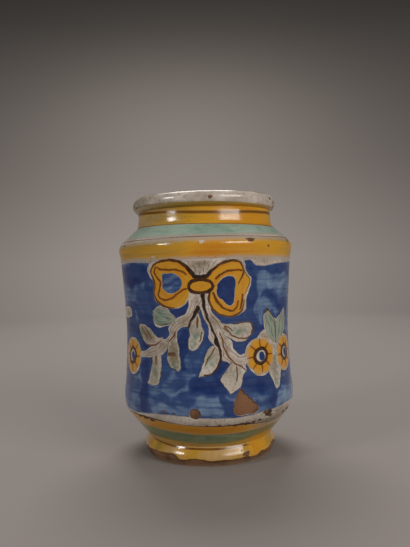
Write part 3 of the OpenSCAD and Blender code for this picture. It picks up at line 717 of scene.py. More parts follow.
# Leaves, trunks and halos left white: two edges each, from one end to the other
WHITE_SHAPES = {
    "crown": ([(-16, 150.5), (-8, 151), (2, 151), (12, 150.5)], [(-9, 140), (-6, 138), (-1, 138), (3, 140.5)]),
    "left trunk": ([(-11, 128), (-11, 121), (-11.5, 116.5), (-14, 111.8), (-19, 109.6), (-22.5, 106), (-25, 102),
                    (-24.5, 98), (-26.5, 95), (-30.5, 94.2), (-34, 95), (-36, 90.5), (-41, 87.5), (-44, 85.5),
                    (-50, 84)],
                   [(0, 128), (-3, 118), (-7, 110), (-12, 103.3), (-16, 103), (-18.7, 100.5), (-19.6, 96),
                    (-20.5, 93.5), (-24, 92.5), (-26, 88), (-28, 85.3), (-31, 82.5), (-36, 82), (-40, 80.8),
                    (-46, 80.3), (-50, 80)]),
    "right trunk": ([(-6, 128), (-4, 117), (-2, 109), (0.9, 102), (0.6, 95), (3.5, 90.5), (7.8, 88), (8.2, 83),
                     (8.5, 79), (11, 78.5), (13, 76.5), (18, 73), (23, 71)],
                    [(5, 128), (2.3, 121), (2.3, 116), (4, 111.5), (8, 107), (11, 101), (13, 95.5), (15.3, 91.5),
                     (15.6, 88), (18, 84.5), (20.5, 82.4), (23.5, 83), (26, 84)]),
    "leaf under the knot": ([(-5, 113), (-8.5, 108), (-11.3, 102), (-11, 97), (-12.2, 91.5), (-11.8, 88),
                             (-10, 86.3)],
                            [(-5, 113), (-4, 108), (-3.2, 103), (-2.3, 98.5), (-3, 94), (-5, 90), (-7.3, 87.2),
                             (-10, 86.3)]),
    "leaf on the stem": ([(5.6, 91), (2.5, 89.5), (-0.5, 86), (-2.4, 81), (-3.3, 77), (-4.8, 72.5), (-6.3, 68.4)],
                         [(5.6, 91), (7.2, 87.5), (7.9, 82), (7, 77), (4.8, 73), (1.5, 70), (-2.5, 68.8),
                          (-6.3, 68.4)]),
    "leaf to the right": ([(7, 107), (10, 105), (14, 104.2), (20, 104.3), (25, 105), (28.3, 103.3), (29.6, 100.2)],
                          [(7, 100), (9.5, 97.5), (12.5, 95.5), (16, 93), (20, 91.6), (24, 92.3), (27.3, 95),
                           (29.6, 100.2)]),
    "leaf low right": ([(14.5, 78), (12.7, 75), (10, 70.5), (6.9, 65.4), (9.2, 62), (12.8, 55.8)],
                       [(22.5, 76.5), (23.8, 71), (21.5, 67.3), (20.4, 62), (18.3, 59), (12.8, 55.8)]),
    "leaf far left": ([(-29.5, 95.5), (-33, 95.6), (-36.5, 97.5), (-39, 100.5), (-42.5, 103.3), (-46, 104.4),
                       (-50.3, 104.2)],
                      [(-30, 91.5), (-33, 90.3), (-37, 89.3), (-41, 89.7), (-45, 91.2), (-48, 95.5), (-50.6, 101),
                       (-50.3, 104.2)]),
    "leaf low left": ([(-38, 83), (-38.3, 78), (-39, 73), (-40.5, 68), (-42.2, 61.8)],
                      [(-31, 83.5), (-30.7, 78.5), (-31.2, 72), (-31.8, 66), (-33, 62.3), (-37, 61.3),
                       (-42.2, 61.8)]),
    "leaf with the chip": ([(-24.5, 96), (-25.7, 90), (-26.3, 84), (-25.8, 78.5), (-24, 75), (-21.3, 73.4),
                            (-18.8, 72)],
                           [(-19.5, 97), (-18.8, 91), (-17.9, 84), (-17.3, 78), (-17.6, 74.3), (-18.8, 72)]),
    "leaf between flowers": ([(48.5, 92), (46, 85), (43.5, 78), (41, 71), (42, 67), (44.2, 62.5), (46, 57.5),
                              (47.5, 54.3)],
                             [(52.5, 90), (51.8, 84), (51.3, 78), (52.5, 72), (55.5, 68.5), (54.2, 64),
                              (52.5, 59), (50.5, 55.8), (47.5, 54.3)]),
    "leaf at the edge": ([(-60, 113), (-61, 115.5), (-66, 116.8), (-73, 116.5), (-78, 114.5), (-82, 111.5)],
                         [(-60, 113), (-60.5, 110), (-66, 108.3), (-73, 108), (-78, 109), (-82, 111.5)]),
    "foot of the tulip": ([(31.5, 92), (35, 95.5), (39, 98.5), (44, 97), (48, 92), (50, 86)],
                          [(32, 91), (36, 91), (40, 90), (44, 87), (47, 82), (49, 78)]),
}
GREEN_SHAPES = {
    "leaf under the bow": ([(-20, 110), (-23, 112.5), (-25, 115.3), (-29, 117.3), (-33, 117), (-36.5, 114.5)],
                           [(-20, 107), (-23.5, 104.8), (-28, 104.2), (-32, 103.2), (-35, 104.8), (-36.2, 108.5),
                            (-36.5, 114.5)]),
    "tulip, left lobe": ([(49.5, 88), (45, 91.5), (41.5, 95), (40.3, 100), (39.2, 105), (39.5, 110),
                          (41.5, 112.3)],
                         [(51, 88), (51.3, 95), (51.5, 104.3), (49, 106), (46.5, 109), (44, 111.5),
                          (41.5, 112.3)]),
    "tulip, right lobe": ([(50.5, 88), (51, 96), (52, 104.5), (56, 107), (60, 110.3), (63, 113.2)],
                          [(52, 87), (56, 90), (60.5, 93.5), (63.8, 98), (64.5, 105), (64.2, 110),
                           (63, 113.2)]),
}
FLOWERS = [(-61, 80.3), (35.6, 80.1), (62.5, 79.6)]

# Thin copper washes on the white: degree, height, half width and half height in millimetres, strength
WASHES = [(-7.5, 97, 3, 7, 0.55), (-9.5, 90, 2.5, 4, 0.5), (1, 80, 4, 7, 0.45), (19.5, 99.5, 7, 3, 0.6),
          (16, 68, 4, 6, 0.3), (-42, 98, 5, 4, 0.7), (-47, 99, 3.5, 5, 0.8), (-21, 78, 3.5, 6, 1.2),
          (-22, 88, 3, 6, 0.5), (-36, 70, 4, 9, 0.5), (49, 62, 3.5, 7, 0.7), (50, 80, 2.5, 8, 0.5)]

# Old dirt on the white: degree, height, half width and half height in millimetres, strength
DIRT = [(-3, 148, 10, 6, 0.5), (-5, 120, 5, 8, 0.4), (4, 108, 5, 9, 0.4), (-14, 107, 7, 6, 0.4), (12, 90, 5, 9, 0.35),
        (-30, 89, 7, 6, 0.35), (-42, 83, 6, 4, 0.3), (20, 76, 5, 5, 0.25), (-67, 112, 8, 5, 0.45),
        (22, 100, 8, 5, 0.25), (48, 100, 9, 8, 0.3), (-42, 97, 9, 8, 0.6), (-22, 84, 6, 13, 0.55),
        (-25, 98, 9, 8, 0.4), (-36, 70, 6, 12, 0.25), (40, 93, 9, 5, 0.35), (47.5, 72, 4, 15, 0.4)]
# Pale spots in the yellow bands: degree, height, half width and half height in millimetres
PALE_SPOTS = [(40, 37.4, 5, 2.6), (-2, 162.3, 1.8, 1.2), (-23, 162.2, 2, 0.6), (-33, 153, 1.5, 0.7)]

# Brown drawing: points of degree, height, width and darkness
BOW_STROKES = [
    [(-7, 138.5, 2.6, 1), (-9.5, 142.5, 2.2, 0.9), (-13, 146.7, 1.8, 0.7), (-18, 149.6, 1.6, 0.6),
     (-24, 150.2, 1.5, 0.5), (-30, 148.9, 1.3, 0.4), (-34.2, 146.3, 1.1, 0.3), (-35.6, 142.5, 0.9, 0.3),
     (-34.8, 138.5, 1, 0.3), (-33.3, 134.5, 1.3, 0.4), (-33.8, 130, 0.9, 0.3), (-34.3, 126.5, 0.9, 0.3),
     (-33, 122.5, 1, 0.3), (-29.5, 119.3, 1.2, 0.4), (-25, 117, 1.1, 0.3), (-20, 116.7, 0.6, 0.2)],
    [(-11.5, 139.5, 0.8, 0), (-14.5, 142.2, 1.1, 0), (-19, 143.4, 1.2, 0), (-25, 143.6, 1.2, 0), (-29, 144.3, 1.1, 0),
     (-31.5, 146, 0.8, 0)],
    [(-32, 146, 0.9, 0.2), (-33, 142, 1, 0.2), (-31, 138, 1, 0.2), (-29, 134.5, 1.1, 0.2), (-30, 130, 1, 0.1),
     (-31, 126, 1, 0.1), (-30, 123.5, 1.1, 0), (-26, 122.3, 1.1, 0), (-22, 123.3, 1, 0),
     (-18, 126.5, 0.9, 0.1), (-14, 129.3, 0.9, 0.3), (-11.5, 129.8, 0.9, 0.4)],
    [(1, 139, 2.4, 1), (4, 142.7, 1.6, 0.7), (8, 146, 1.4, 0.6), (12, 148.1, 1.5, 0.6), (17, 148.7, 1.4, 0.6),
     (20.5, 147.8, 1.1, 0.4), (22.3, 145, 1, 0.3), (23.2, 142, 1.2, 0.3), (22.8, 138.5, 1.1, 0.3),
     (21, 135.3, 0.9, 0.2), (19.8, 132, 0.6, 0.2)],
    [(2.2, 128, 1, 0.5), (1.4, 124, 1.3, 0.5), (1.7, 120, 1.3, 0.4), (3.2, 116.3, 1.1, 0.3), (5.5, 113.3, 1, 0.3),
     (9, 111.2, 0.8, 0.2), (13, 110, 0.8, 0.3), (17.3, 110.2, 1, 0.3), (21.4, 113, 0.9, 0.3), (23.2, 116.5, 0.7, 0.2),
     (23.7, 121, 0.4, 0.1)],
    [(3.9, 127.5, 1, 0.4), (5.2, 123, 1.3, 0.4), (7.5, 119, 1.3, 0.3), (10.5, 115.7, 1.2, 0.3), (13.5, 114, 1.1, 0.3),
     (16.5, 113.8, 1, 0.3), (18.8, 116.5, 1, 0.3), (19.8, 121, 0.7, 0.2)],
    [(22.8, 125.5, 0.9, 0.3), (22.2, 121, 1.2, 0.3), (21.8, 117, 1.1, 0.3), (20.5, 114, 0.8, 0.3)],
    [(5.3, 136, 1, 0.3), (8.5, 139, 1.1, 0.3), (12.5, 141.3, 1.1, 0.3), (16.5, 142, 1, 0.3), (22.5, 141.8, 0.9, 0.2)],
    [(-8.5, 138.6, 2, 1), (-6, 138.1, 2.4, 1), (-3.5, 137.8, 2.2, 1), (1.8, 138.8, 2.2, 1)],
    [(22.6, 144.3, 0.3, 0.1), (25.3, 138.3, 0.5, 0.2), (27.5, 136, 0.5, 0.2), (27, 131.5, 0.5, 0.2),
     (25.5, 127.5, 0.4, 0.1), (24.3, 125, 0.3, 0.1)],
]
# The strokes of the bow that are folds, with orange shading along them
FOLDS = (1, 2, 5, 6, 7)
STEM_STROKES = [
    [(-2.5, 128, 3, 1), (-2, 122, 2.5, 1), (-1.5, 116, 1.9, 1), (0, 110, 1.4, 1), (2, 104, 1.3, 1),
     (3.8, 99, 1.5, 1), (5, 95.5, 2, 1), (5.3, 92.5, 3.2, 1), (7, 88, 2, 0.9), (7.8, 84, 1.8, 0.8), (7.5, 80, 1.6, 0.8),
     (6.2, 76, 1.4, 0.7), (4, 72.5, 1.2, 0.6), (1.5, 70.3, 1, 0.6), (-3, 69.3, 0.8, 0.5)],
    [(-4.8, 117.8, 3.3, 1), (-6.5, 114, 2.9, 1), (-8.5, 110, 1.9, 1), (-10.5, 106.5, 1.3, 0.9), (-12, 102.5, 1, 0.8)],
]
VEIN_STROKES = [
    [(-6, 110.5, 1.5, 0), (-6, 106, 1.6, 0), (-6.3, 102, 1, 0)],
    [(-3.5, 100, 0.7, 0.1), (-4, 96, 0.9, 0.1), (-5, 92.5, 0.7, 0.1)],
    [(4.5, 89, 0.8, 0.2), (2, 84, 1, 0.2), (-0.5, 80, 1, 0.2), (-2, 76, 0.7, 0.1)],
    [(10.5, 103, 1.2, 0.2), (13, 99.5, 0.9, 0.2), (15, 96.5, 1, 0.2), (19, 94.5, 1, 0.2), (24, 93.7, 1, 0.2),
     (27, 94.8, 0.7, 0.2)],
    [(17.5, 75, 0.8, 0.1), (17.8, 70, 1, 0.1), (17.2, 64, 0.7, 0.1)],
    [(-45, 90.5, 0.7, 0.2), (-38, 89.5, 1.1, 0.3), (-33, 91.5, 1, 0.3), (-31, 92.5, 0.7, 0.2)],
    [(-35, 82.5, 1.3, 0.1), (-35, 79, 1.5, 0.1), (-35, 75.5, 0.8, 0.1)],
    [(-20, 100, 0.9, 0.2), (-22.5, 95.5, 1.2, 0.2), (-25, 93, 0.8, 0.2)],
    [(7.5, 99, 0.8, 0.1), (9, 94, 1, 0.1), (10, 88, 1.1, 0.1), (12, 83, 1.1, 0.1), (15, 78.7, 1.1, 0.1),
     (18, 75.8, 1, 0.1), (21, 74, 1, 0.1), (23.5, 71, 0.7, 0.1)],
    [(49, 106, 0.8, 0.2), (50.5, 98, 1, 0.2), (50.5, 88, 0.8, 0.2)],
    [(-50.6, 105.5, 0.9, 0.8), (-51.2, 101.5, 1.3, 0.9), (-49.8, 97.5, 1.1, 0.8), (-47, 93.5, 0.8, 0.6)],
    [(-48.5, 103, 0.7, 0.5), (-45, 98.5, 0.9, 0.5), (-42, 94.5, 0.7, 0.4)],
    [(-45.5, 103.2, 0.6, 0.4), (-41.5, 98.5, 0.8, 0.4), (-38, 94, 0.6, 0.3)],
    [(29.2, 104.3, 0.8, 0.6), (30.3, 101.5, 1.3, 0.8), (29.5, 97.5, 1.1, 0.7), (27.3, 94.6, 0.8, 0.5)],
    [(16, 104.8, 0.6, 0.5), (21, 104.9, 0.7, 0.5), (25.5, 105.3, 0.8, 0.6), (29, 104.2, 0.8, 0.6)],
    [(10.5, 103.6, 0.9, 0.3), (13.5, 101.8, 0.8, 0.2), (16, 99.8, 0.8, 0.2)],
    [(9.8, 101.8, 0.8, 0.3), (12.5, 98.8, 0.6, 0.2)],
    [(40.5, 111, 1.6, 0.9), (41.8, 113.2, 2, 0.9), (43.5, 113, 1.2, 0.8)],
    [(39.6, 110.5, 0.9, 0.8), (41.5, 112.3, 1.1, 0.8), (44, 111.5, 1, 0.7), (46.5, 109, 0.9, 0.6), (49, 106, 0.8, 0.5)],
]

# Tones of the blue: depth of colour from 0 to 1, softness of the edge, and a stroke of degree, height and width
BLUE_STROKES = [
    (0.42, 0.4, [(-80, 125, 13), (-54, 124, 12)]),
    (0.6, 0.4, [(-49, 134, 9), (-47, 112, 8)]),
    (0.75, 0.3, [(-57, 119, 6), (-56, 98, 6)]),
    (0.8, 0.3, [(-38.5, 138, 5), (-37.5, 128, 6), (-38.5, 117, 6)]),
    (0.85, 0.2, [(-55, 119, 4), (-47, 112, 7), (-38, 105, 8), (-30, 100, 7.5), (-27.5, 98.3, 7)]),
    (0.95, 0.3, [(-66, 102.5, 9), (-61, 102, 8)]),
    (0.85, 0.3, [(-52, 98, 6), (-47, 90, 6), (-43, 87, 5)]),
    (0.88, 0.15, [(-80, 140.5, 14.5), (-43, 140.8, 14.5)]),
    (1.05, 0.4, [(-75, 135.5, 5), (-48, 135.5, 5)]),
    (0.92, 0.25, [(-44, 73, 10), (-46, 62, 9), (-44, 45, 8)]),
    (0.62, 0.5, [(-75, 62, 8), (-54, 60, 9)]),
    (0.4, 0.5, [(-75, 48, 8), (-52, 47, 8)]),
    (0.6, 0.3, [(-28.5, 79, 6), (-28, 66, 6)]),
    (0.5, 0.5, [(-38, 53, 13), (-24, 55, 13)]),
    (0.3, 0.4, [(-40, 59.5, 1.6), (-33, 60, 2)]),
    (0.46, 0.4, [(-26, 66, 3), (-23, 73, 3)]),
    (0.32, 0.35, [(-29, 56.8, 1.6), (-20, 57.3, 2), (-15, 60, 2.4), (-12.5, 64, 2.4), (-8, 68.5, 2.4)]),
    (0.97, 0.25, [(-15.5, 100, 7), (-15.5, 86, 8), (-17, 74, 6)]),
    (0.6, 0.4, [(-8, 92, 4), (-7, 80, 6), (-8, 72, 5)]),
    (0.7, 0.3, [(-2, 105, 5), (-1, 92, 5)]),
    (0.95, 0.3, [(-9, 61.5, 11), (8, 62, 11)]),
    (0.6, 0.4, [(-30, 51, 6), (-6, 52, 6)]),
    (0.25, 0.4, [(-36, 44.5, 5), (-22, 44.5, 4)]),
    (0.26, 0.4, [(-4, 49.5, 8), (3, 50.5, 8)]),
    (0.25, 0.4, [(-3, 43.5, 5), (6, 43, 5)]),
    (0.8, 0.3, [(7.5, 54, 6), (9.5, 50, 8), (11.5, 45, 7)]),
    (0.82, 0.2, [(26.8, 146.5, 5), (29, 138, 7), (29, 110, 8), (31, 98, 8)]),
    (0.8, 0.25, [(33, 103, 9), (35, 100, 9)]),
    (0.7, 0.3, [(36, 143.5, 5), (52, 143.5, 7), (80, 143, 10)]),
    (0.82, 0.3, [(46, 142, 2.5), (60, 139.5, 4), (80, 138, 5)]),
    (0.34, 0.4, [(37, 133, 13), (52, 133, 12), (80, 131.5, 10)]),
    (0.16, 0.4, [(44, 130, 5), (50, 131.5, 4), (62, 131.5, 3)]),
    (0.4, 0.3, [(48, 136.5, 1.6), (60, 135, 1.6)]),
    (0.8, 0.3, [(36, 123.5, 3), (40, 123.6, 3.4), (45, 122.5, 4.6), (50, 118.8, 6.4), (55, 113.5, 7)]),
    (0.8, 0.3, [(58, 116, 8), (68, 114, 9)]),
    (0.4, 0.4, [(56, 125.5, 6), (75, 124, 6)]),
    (0.36, 0.4, [(36.5, 118, 8), (41, 116, 7), (44, 113, 5)]),
    (0.24, 0.4, [(36.8, 112, 4.4), (37.8, 105.5, 4.4)]),
    (0.75, 0.25, [(18, 87.3, 7), (27, 88.5, 5)]),
    (0.86, 0.3, [(24, 62, 12), (43, 60, 11)]),
    (0.6, 0.4, [(32, 47, 6), (42, 46, 6)]),
    (0.97, 0.25, [(43.5, 49, 6), (44, 46, 5)]),
    (0.2, 0.4, [(50, 46.5, 9), (75, 47, 11)]),
    (0.05, 0.4, [(51, 46, 2.5), (57, 52, 2.5)]),
    (0.75, 0.3, [(54, 60, 7), (68, 59, 7)]),
    (0.92, 0.3, [(8, 77, 7), (6, 71, 7)]),
    (0.88, 0.3, [(-22, 113, 7), (-13, 116, 7)]),
    (0.56, 0.3, [(-26, 134, 15), (-17, 134, 15)]),
    (0.34, 0.4, [(-27, 136.5, 3), (-17, 137, 3)]),
    (0.38, 0.3, [(-25, 131.5, 1.6), (-18, 131.5, 1.6)]),
    (1.0, 0.3, [(12, 134, 15), (12, 120, 15)]),
]

# Lower and upper edge of the blue: degree and height
GROUND_LOW = [(-90, 39), (-70, 38.6), (-50, 38.8), (-40, 40.4), (-20, 40.6), (0, 39), (15, 38.8), (30, 39.5),
              (45, 40.5), (60, 42), (75, 41), (90, 39)]
GROUND_HIGH = [(-90, 148.5), (-70, 149.6), (-45, 149.8), (-37, 149), (-20, 148.5), (0, 148), (20, 148), (25, 149.4),
               (28.5, 149), (31.5, 146), (35, 145.4), (50, 146.6), (70, 148), (90, 148.5)]

# Losses down to the clay: closed outlines on the chart
LARGE_LOSS = [(14.5, 42.5), (14.2, 45), (14.9, 47.5), (14.7, 50), (16.1, 52.5), (16.7, 55), (18.4, 56.9), (19.4, 59.4),
              (20.8, 57.8), (21.7, 56.9), (22.2, 55), (24, 54.3), (25, 52), (27.1, 50.8), (28, 48.8), (30, 47.4),
              (31.2, 44.8), (30.9, 41.8), (28.4, 40.2), (24, 40.4), (20, 39.9), (16.6, 40.6)]
FLAKE = [(-12.3, 42.5), (-11.3, 45.4), (-8.8, 46.6), (-6.3, 45.4), (-5.2, 42.5), (-6.3, 39.6), (-8.8, 38.5),
         (-11.3, 39.6)]
LOSSES = [LARGE_LOSS, FLAKE]

# Small chips that show clay: degree, height, half width and half height in millimetres
CHIPS = [(28, 163.3, 3, 1.4), (41, 159, 0.9, 0.8), (67, 164, 1.2, 1.6), (-62, 162.5, 1.1, 0.5), (12, 33.2, 1.6, 0.7),
         (16, 32.8, 1.9, 0.9), (20.5, 33.3, 1.8, 1), (24.5, 33, 2.2, 1), (29, 33.6, 1.8, 0.8), (33.5, 34.4, 1.6, 0.7),
         (36.5, 40, 1.6, 1.4), (39.5, 38.6, 3.6, 2.6), (42, 36.4, 1.8, 1.2), (-52, 36.4, 2.6, 0.9),
         (-46, 35.8, 3, 0.8), (-40, 35, 2.6, 0.8), (58, 35.2, 2.8, 0.8), (64, 36, 2.2, 0.8), (29.5, 7.4, 3.1, 2),
         (31.5, 8.4, 1.5, 1), (26, 10.3, 0.6, 0.5), (31, 13.4, 1.6, 0.5), (-2, 33.6, 1.1, 0.4), (6, 33.5, 1.4, 0.4),
         (8.5, 123.6, 0.4, 0.3), (130, 163, 2, 0.8), (205, 35, 3, 0.7), (150, 8, 2.4, 1), (250, 34.5, 2.2, 0.6),
         (-29, 43.2, 1.1, 0.9), (-22, 42.6, 1.2, 0.5)]
# Chips and wear on the rim: degree, place along the rim, half width and half height in millimetres
RIM_CHIPS = [(4.5, 0.36, 1.6, 1.1), (62, 0.42, 1.6, 1), (70, 0.33, 1.7, 1.2), (73, 0.2, 1.5, 1),
             (-67, 0.25, 1.5, 0.7), (-72, 0.33, 1.3, 0.8), (-24, 0.665, 5, 0.5), (-14, 0.67, 6, 0.4),
             (-8, 0.66, 2.5, 0.5), (20, 0.665, 6, 0.4), (30, 0.66, 7, 0.5), (48, 0.66, 5, 0.5), (57, 0.64, 4, 0.6),
             (-45, 0.65, 4, 0.4), (-60, 0.64, 4, 0.5), (110, 0.66, 8, 0.5), (140, 0.5, 1.8, 1), (170, 0.66, 6, 0.5),
             (215, 0.65, 7, 0.6), (250, 0.45, 1.5, 1)]
# The chip across a leaf: its upper and its lower edge
LEAF_CHIP = ([(-26, 85.2), (-23.5, 85.3), (-20.7, 85)], [(-26, 82.8), (-23, 82.5), (-20.7, 82.7)])
# Lower edge of the glaze on the foot, seen from the bow's side: degree and height
DRIP = [(-180, 4.5), (-140, 5), (-110, 4.5), (-75, 7), (-65, 7.3), (-50, 7.2), (-40, 7.7), (-33, 8), (-29.5, 7.4),
        (-27, 5.6), (-22, 5.2), (-15, 6.2), (-9, 6), (-5, 5.4), (0, 4.7), (10, 4.7), (22, 4.9), (26, 5.4), (30, 5.2),
        (34, 4.5), (40, 4.6), (45, 6.2), (52, 5.8), (56, 6), (61, 7.4), (66, 8.4), (75, 8), (100, 6), (140, 5.3),
        (180, 4.5)]
# How far the top of the yellow on the base strays from its level, round the whole turn: degree and millimetres
BASE_TOP = [(-180, 1), (-120, 2), (-90, 4), (-57, 4.4), (-41, 4.1), (-26, 2.9), (-12, 1.6), (0, 0.9), (20, 0.4),
            (35, -0.8), (48, -1.6), (62, -0.6), (90, 1), (180, 1)]
# The two sides that carry the ornament, in degrees
SIDES = (0.0, 180.0)
# Tones of the blue's first wash, of the outline round the white shapes, and where the two sides join
BLUE_WASH, BLUE_OUTLINE, BLUE_JOIN = 0.5, 0.66, 0.55
# Reach of that outline and the soft part of it, in millimetres, and the degree at which the join begins
OUTLINE_REACH, OUTLINE_SOFT, JOIN_FROM = 4, 2, 72
# A grid point within this share of a cell moves onto the outline of a loss
SNAP_SHARE = 0.55
# Tone of the bow's yellow
RIBBON_TONE = 0.62


def soft_spots(chart, spots):
    """Strength of round washes on the chart: the greatest of exp(-d * d) over the spots."""
    spots = np.asarray(spots, float)
    d = (chart[..., None, :] - spots[:, :2]) * FLAT / spots[:, 2:4]
    return (spots[:, 4] * np.exp(-(d ** 2).sum(-1))).max(-1)


def near_line(chart, points):
    """Distance from chart points to a broken line, in millimetres, and the line's width at the nearest place."""
    flat = chart * FLAT
    points = np.asarray(points, float)
    line = points[:, :2] * FLAT
    a, d = line[:-1], np.diff(line, axis=0)
    t = np.clip(((flat[..., None, :] - a) * d).sum(-1) / (d ** 2).sum(-1), 0, 1)
    gap = np.linalg.norm(flat[..., None, :] - (a + t[..., None] * d), axis=-1)
    best = gap.argmin(-1)[..., None]
    width = points[:-1, 2] + t * np.diff(points[:, 2])
    return np.take_along_axis(gap, best, -1)[..., 0], np.take_along_axis(width, best, -1)[..., 0]


def reserve_edges():
    """Chart points along every white shape, close enough together to measure from."""
    shapes = (*WHITE_SHAPES.values(), *GREEN_SHAPES.values())
    lines = [LEFT_HALO, RIGHT_HALO] + [edge for pair in shapes for edge in pair]
    turn = np.linspace(0, 2 * np.pi, 24)
    disc = np.stack([np.cos(turn), np.sin(turn)], -1) / FLAT * (bpy.context.scene.jar_sizes.flower_r / MM)
    return np.concatenate([drawn(line, 40) for line in lines] + [centre + disc for centre in np.array(FLOWERS)])


def blue_tone(chart):
    """Depth of the cobalt: a wash, deeper in the broad outline that the brush drew round the white shapes, and then
    each stroke in turn over what lies under it, almost wholly at its middle and softly at its edge. Chart places are
    pushed about a little first, so that no stroke has a straight edge."""
    across, up = chart[..., 0] * DEGREE_MM, chart[..., 1]
    pushed = np.stack([
        across + 1.6 * np.sin(up / 5.1 + across / 8) + 0.9 * np.sin(up / 2.3 - across / 3.6),
        up + 1.5 * np.sin(across / 5 + up / 9) + 0.8 * np.sin(across / 2.1 + 2)], -1) / FLAT
    edges = reserve_edges() * FLAT
    gap = np.stack([np.sqrt(((row[:, None] - edges) ** 2).sum(-1).min(1)) for row in chart * FLAT])
    tone = BLUE_WASH + 0.1 * np.sin(across / 9 + up / 6) + 0.08 * np.sin(across / 4 - up / 11)
    tone += (BLUE_OUTLINE - tone) * eased((OUTLINE_REACH - gap) / OUTLINE_SOFT)
    for depth, soft, points in BLUE_STROKES:
        gap, width = near_line(pushed, points)
        blur = 0.7 * soft
        tone += (depth - tone) * 0.9 * eased((1 + blur - 2 * gap / width) / (2 * blur))
    return tone


def pierced(chart, layer, tone, fade):
    """A patch of the whole turn, in the named layer, with the losses as holes: grid points near an outline move onto
    it, faces inside it go, a face that has corners on both sides keeps the triangle outside, and points that no face
    uses go."""
    rows, cols = chart.shape[:2]
    quads = grid_faces(rows, cols, True)
    spots = chart.reshape(-1, 2).copy()
    cell = max(360 / rows * DEGREE_MM, np.diff(chart[0, :, 1]).max())
    inside, on_edge = np.zeros(len(spots), bool), np.zeros(len(spots), bool)
    for outline in LOSSES:
        a = drawn(outline, 8 * len(outline), True)
        b = np.roll(a, -1, 0)
        close = np.flatnonzero(((spots > a.min(0) - 3) & (spots < a.max(0) + 3)).all(1))
        p = spots[close][:, None]
        d = (b - a) * FLAT
        t = np.clip(((p - a) * FLAT * d).sum(-1) / (d ** 2).sum(-1), 0, 1)
        nearest = a + t[..., None] * (b - a)
        gap = np.linalg.norm((p - nearest) * FLAT, axis=-1)
        crossed = (a[:, 1] > p[..., 1]) != (b[:, 1] > p[..., 1])
        at = a[:, 0] + (p[..., 1] - a[:, 1]) / (b[:, 1] - a[:, 1] + 1e-12) * (b[:, 0] - a[:, 0])
        within = (crossed & (p[..., 0] < at)).sum(1) % 2 == 1
        snap = gap.min(1) <= cell * SNAP_SHARE
        spots[close[snap]] = nearest[np.arange(len(close)), gap.argmin(1)][snap]
        on_edge[close[snap]] = True
        inside[close[within & ~snap]] = True
    outside = ~inside & ~on_edge
    has_in, has_out = inside[quads].any(1), outside[quads].any(1)
    split = quads[has_in & has_out]
    corner = outside[split].argmax(1)
    tris = np.stack([split[np.arange(len(split)), (corner + s) % 4] for s in (-1, 0, 1)], -1).reshape(-1, 3)
    quads = quads[~has_in & has_out]
    used = np.unique(np.concatenate([quads.ravel(), tris.ravel()]))
    number = np.zeros(len(spots), int)
    number[used] = np.arange(len(used))
    points = on_panel(spots[used], lift_of(layer))
    tone, fade = (np.broadcast_to(value, (rows, cols)).reshape(-1)[used] for value in (tone, fade))
    return {"points": points, "quads": number[quads], "tris": number[tris], "tone": tone, "fade": fade,
            "brush": points / MM}


# Places along the rim, from 0 under it to 1 inside the lip: the end of its round outside, and the start of the lip
RIM_ROUND, LIP_START = 0.7, 0.75


def rim_line(s):
    """Radius and height along the rim, and the angle that its outside faces: half an ellipse from the neck out and up,
    a level top, then a quarter circle into the mouth."""
    low, high = NECK[0][-1], RIM_TOP
    lip = bpy.context.scene.jar_sizes.lip_round / MM
    a = np.radians(-90 + 180 * np.clip(s / RIM_ROUND, 0, 1))
    q = np.radians(90 + 90 * np.clip((s - LIP_START) / (1 - LIP_START), 0, 1))
    mix = np.clip((s - RIM_ROUND) / (LIP_START - RIM_ROUND), 0, 1)
    out = NECK[1][-1] + (RIM_R - NECK[1][-1]) * np.cos(a)
    up = low + (high - low) / 2 * (1 + np.sin(a))
    flat = NECK[1][-1] * (1 - mix) + (MOUTH_R + lip) * mix
    radius = np.where(s <= RIM_ROUND, out, np.where(s < LIP_START, flat, MOUTH_R + lip * (1 + np.cos(q))))
    height = np.where(s <= RIM_ROUND, up, np.where(s < LIP_START, high, high - lip * (1 - np.sin(q))))
    return radius, height, a


def on_rim(degrees, s, lift=0.0):
    """Points on the rim: degrees round the jar and the place along rim_line, lifted off in millimetres."""
    turn, s = np.broadcast_arrays(np.radians(degrees), s)
    radius, height, a = rim_line(s)
    radius = radius + lift * np.cos(a) + stray(height, turn) * np.clip((LIP_START - s) / 0.2, 0, 1)
    return np.stack([radius * np.sin(turn), -radius * np.cos(turn), height + lift * np.sin(a)], -1) * MM


def ragged(seed, along=28, across=5):
    """Offsets of a ragged round chip of radius 1, from its middle to its edge: a circle with waves of 3, 5 and 7."""
    a = np.linspace(0, 2 * np.pi, along, endpoint=False)
    r = 1 + 0.18 * np.sin(3 * a + seed) + 0.14 * np.sin(5 * a + 2.3 * seed) + 0.08 * np.sin(7 * a + 4 * seed)
    return np.stack([np.cos(a) * r, np.sin(a) * r], -1)[:, None] * np.linspace(0, 1, across)[None, :, None]


def ragged_spot(layer, seed, degree, height, wide, tall, tone=0.0, fade=0.0):
    """A ragged patch on the jar's outside, in the named layer; wide and tall are its half width and half height in
    millimetres."""
    spots = ragged(seed) * [wide / DEGREE_MM, tall] + [degree, height]
    return patch(on_jar(spots[..., 0], spots[..., 1], lift_of(layer)), True, True, tone, fade)


def neck_edge():
    """Heights where the neck's yellow ends on the shoulder, lower on the right, round the whole turn."""
    return NECK[0][0] - 0.9 - np.sin(TURN)


def drip_edge():
    """Heights of the ragged lower edge of the glaze on the foot, round the whole turn."""
    return curve(*np.transpose(DRIP), DEGREES) + wavy(TURN, 0.42, 3.1, (17, 29, 41, 67))


class JAR_OT_clay(bpy.types.Operator):
    """Gives the thrown body its bare fired clay"""
    bl_idname = "jar.clay"
    bl_label = "Clay"

    def execute(self, context):
        finish_node("clay_body", "clay")
        return {"FINISHED"}


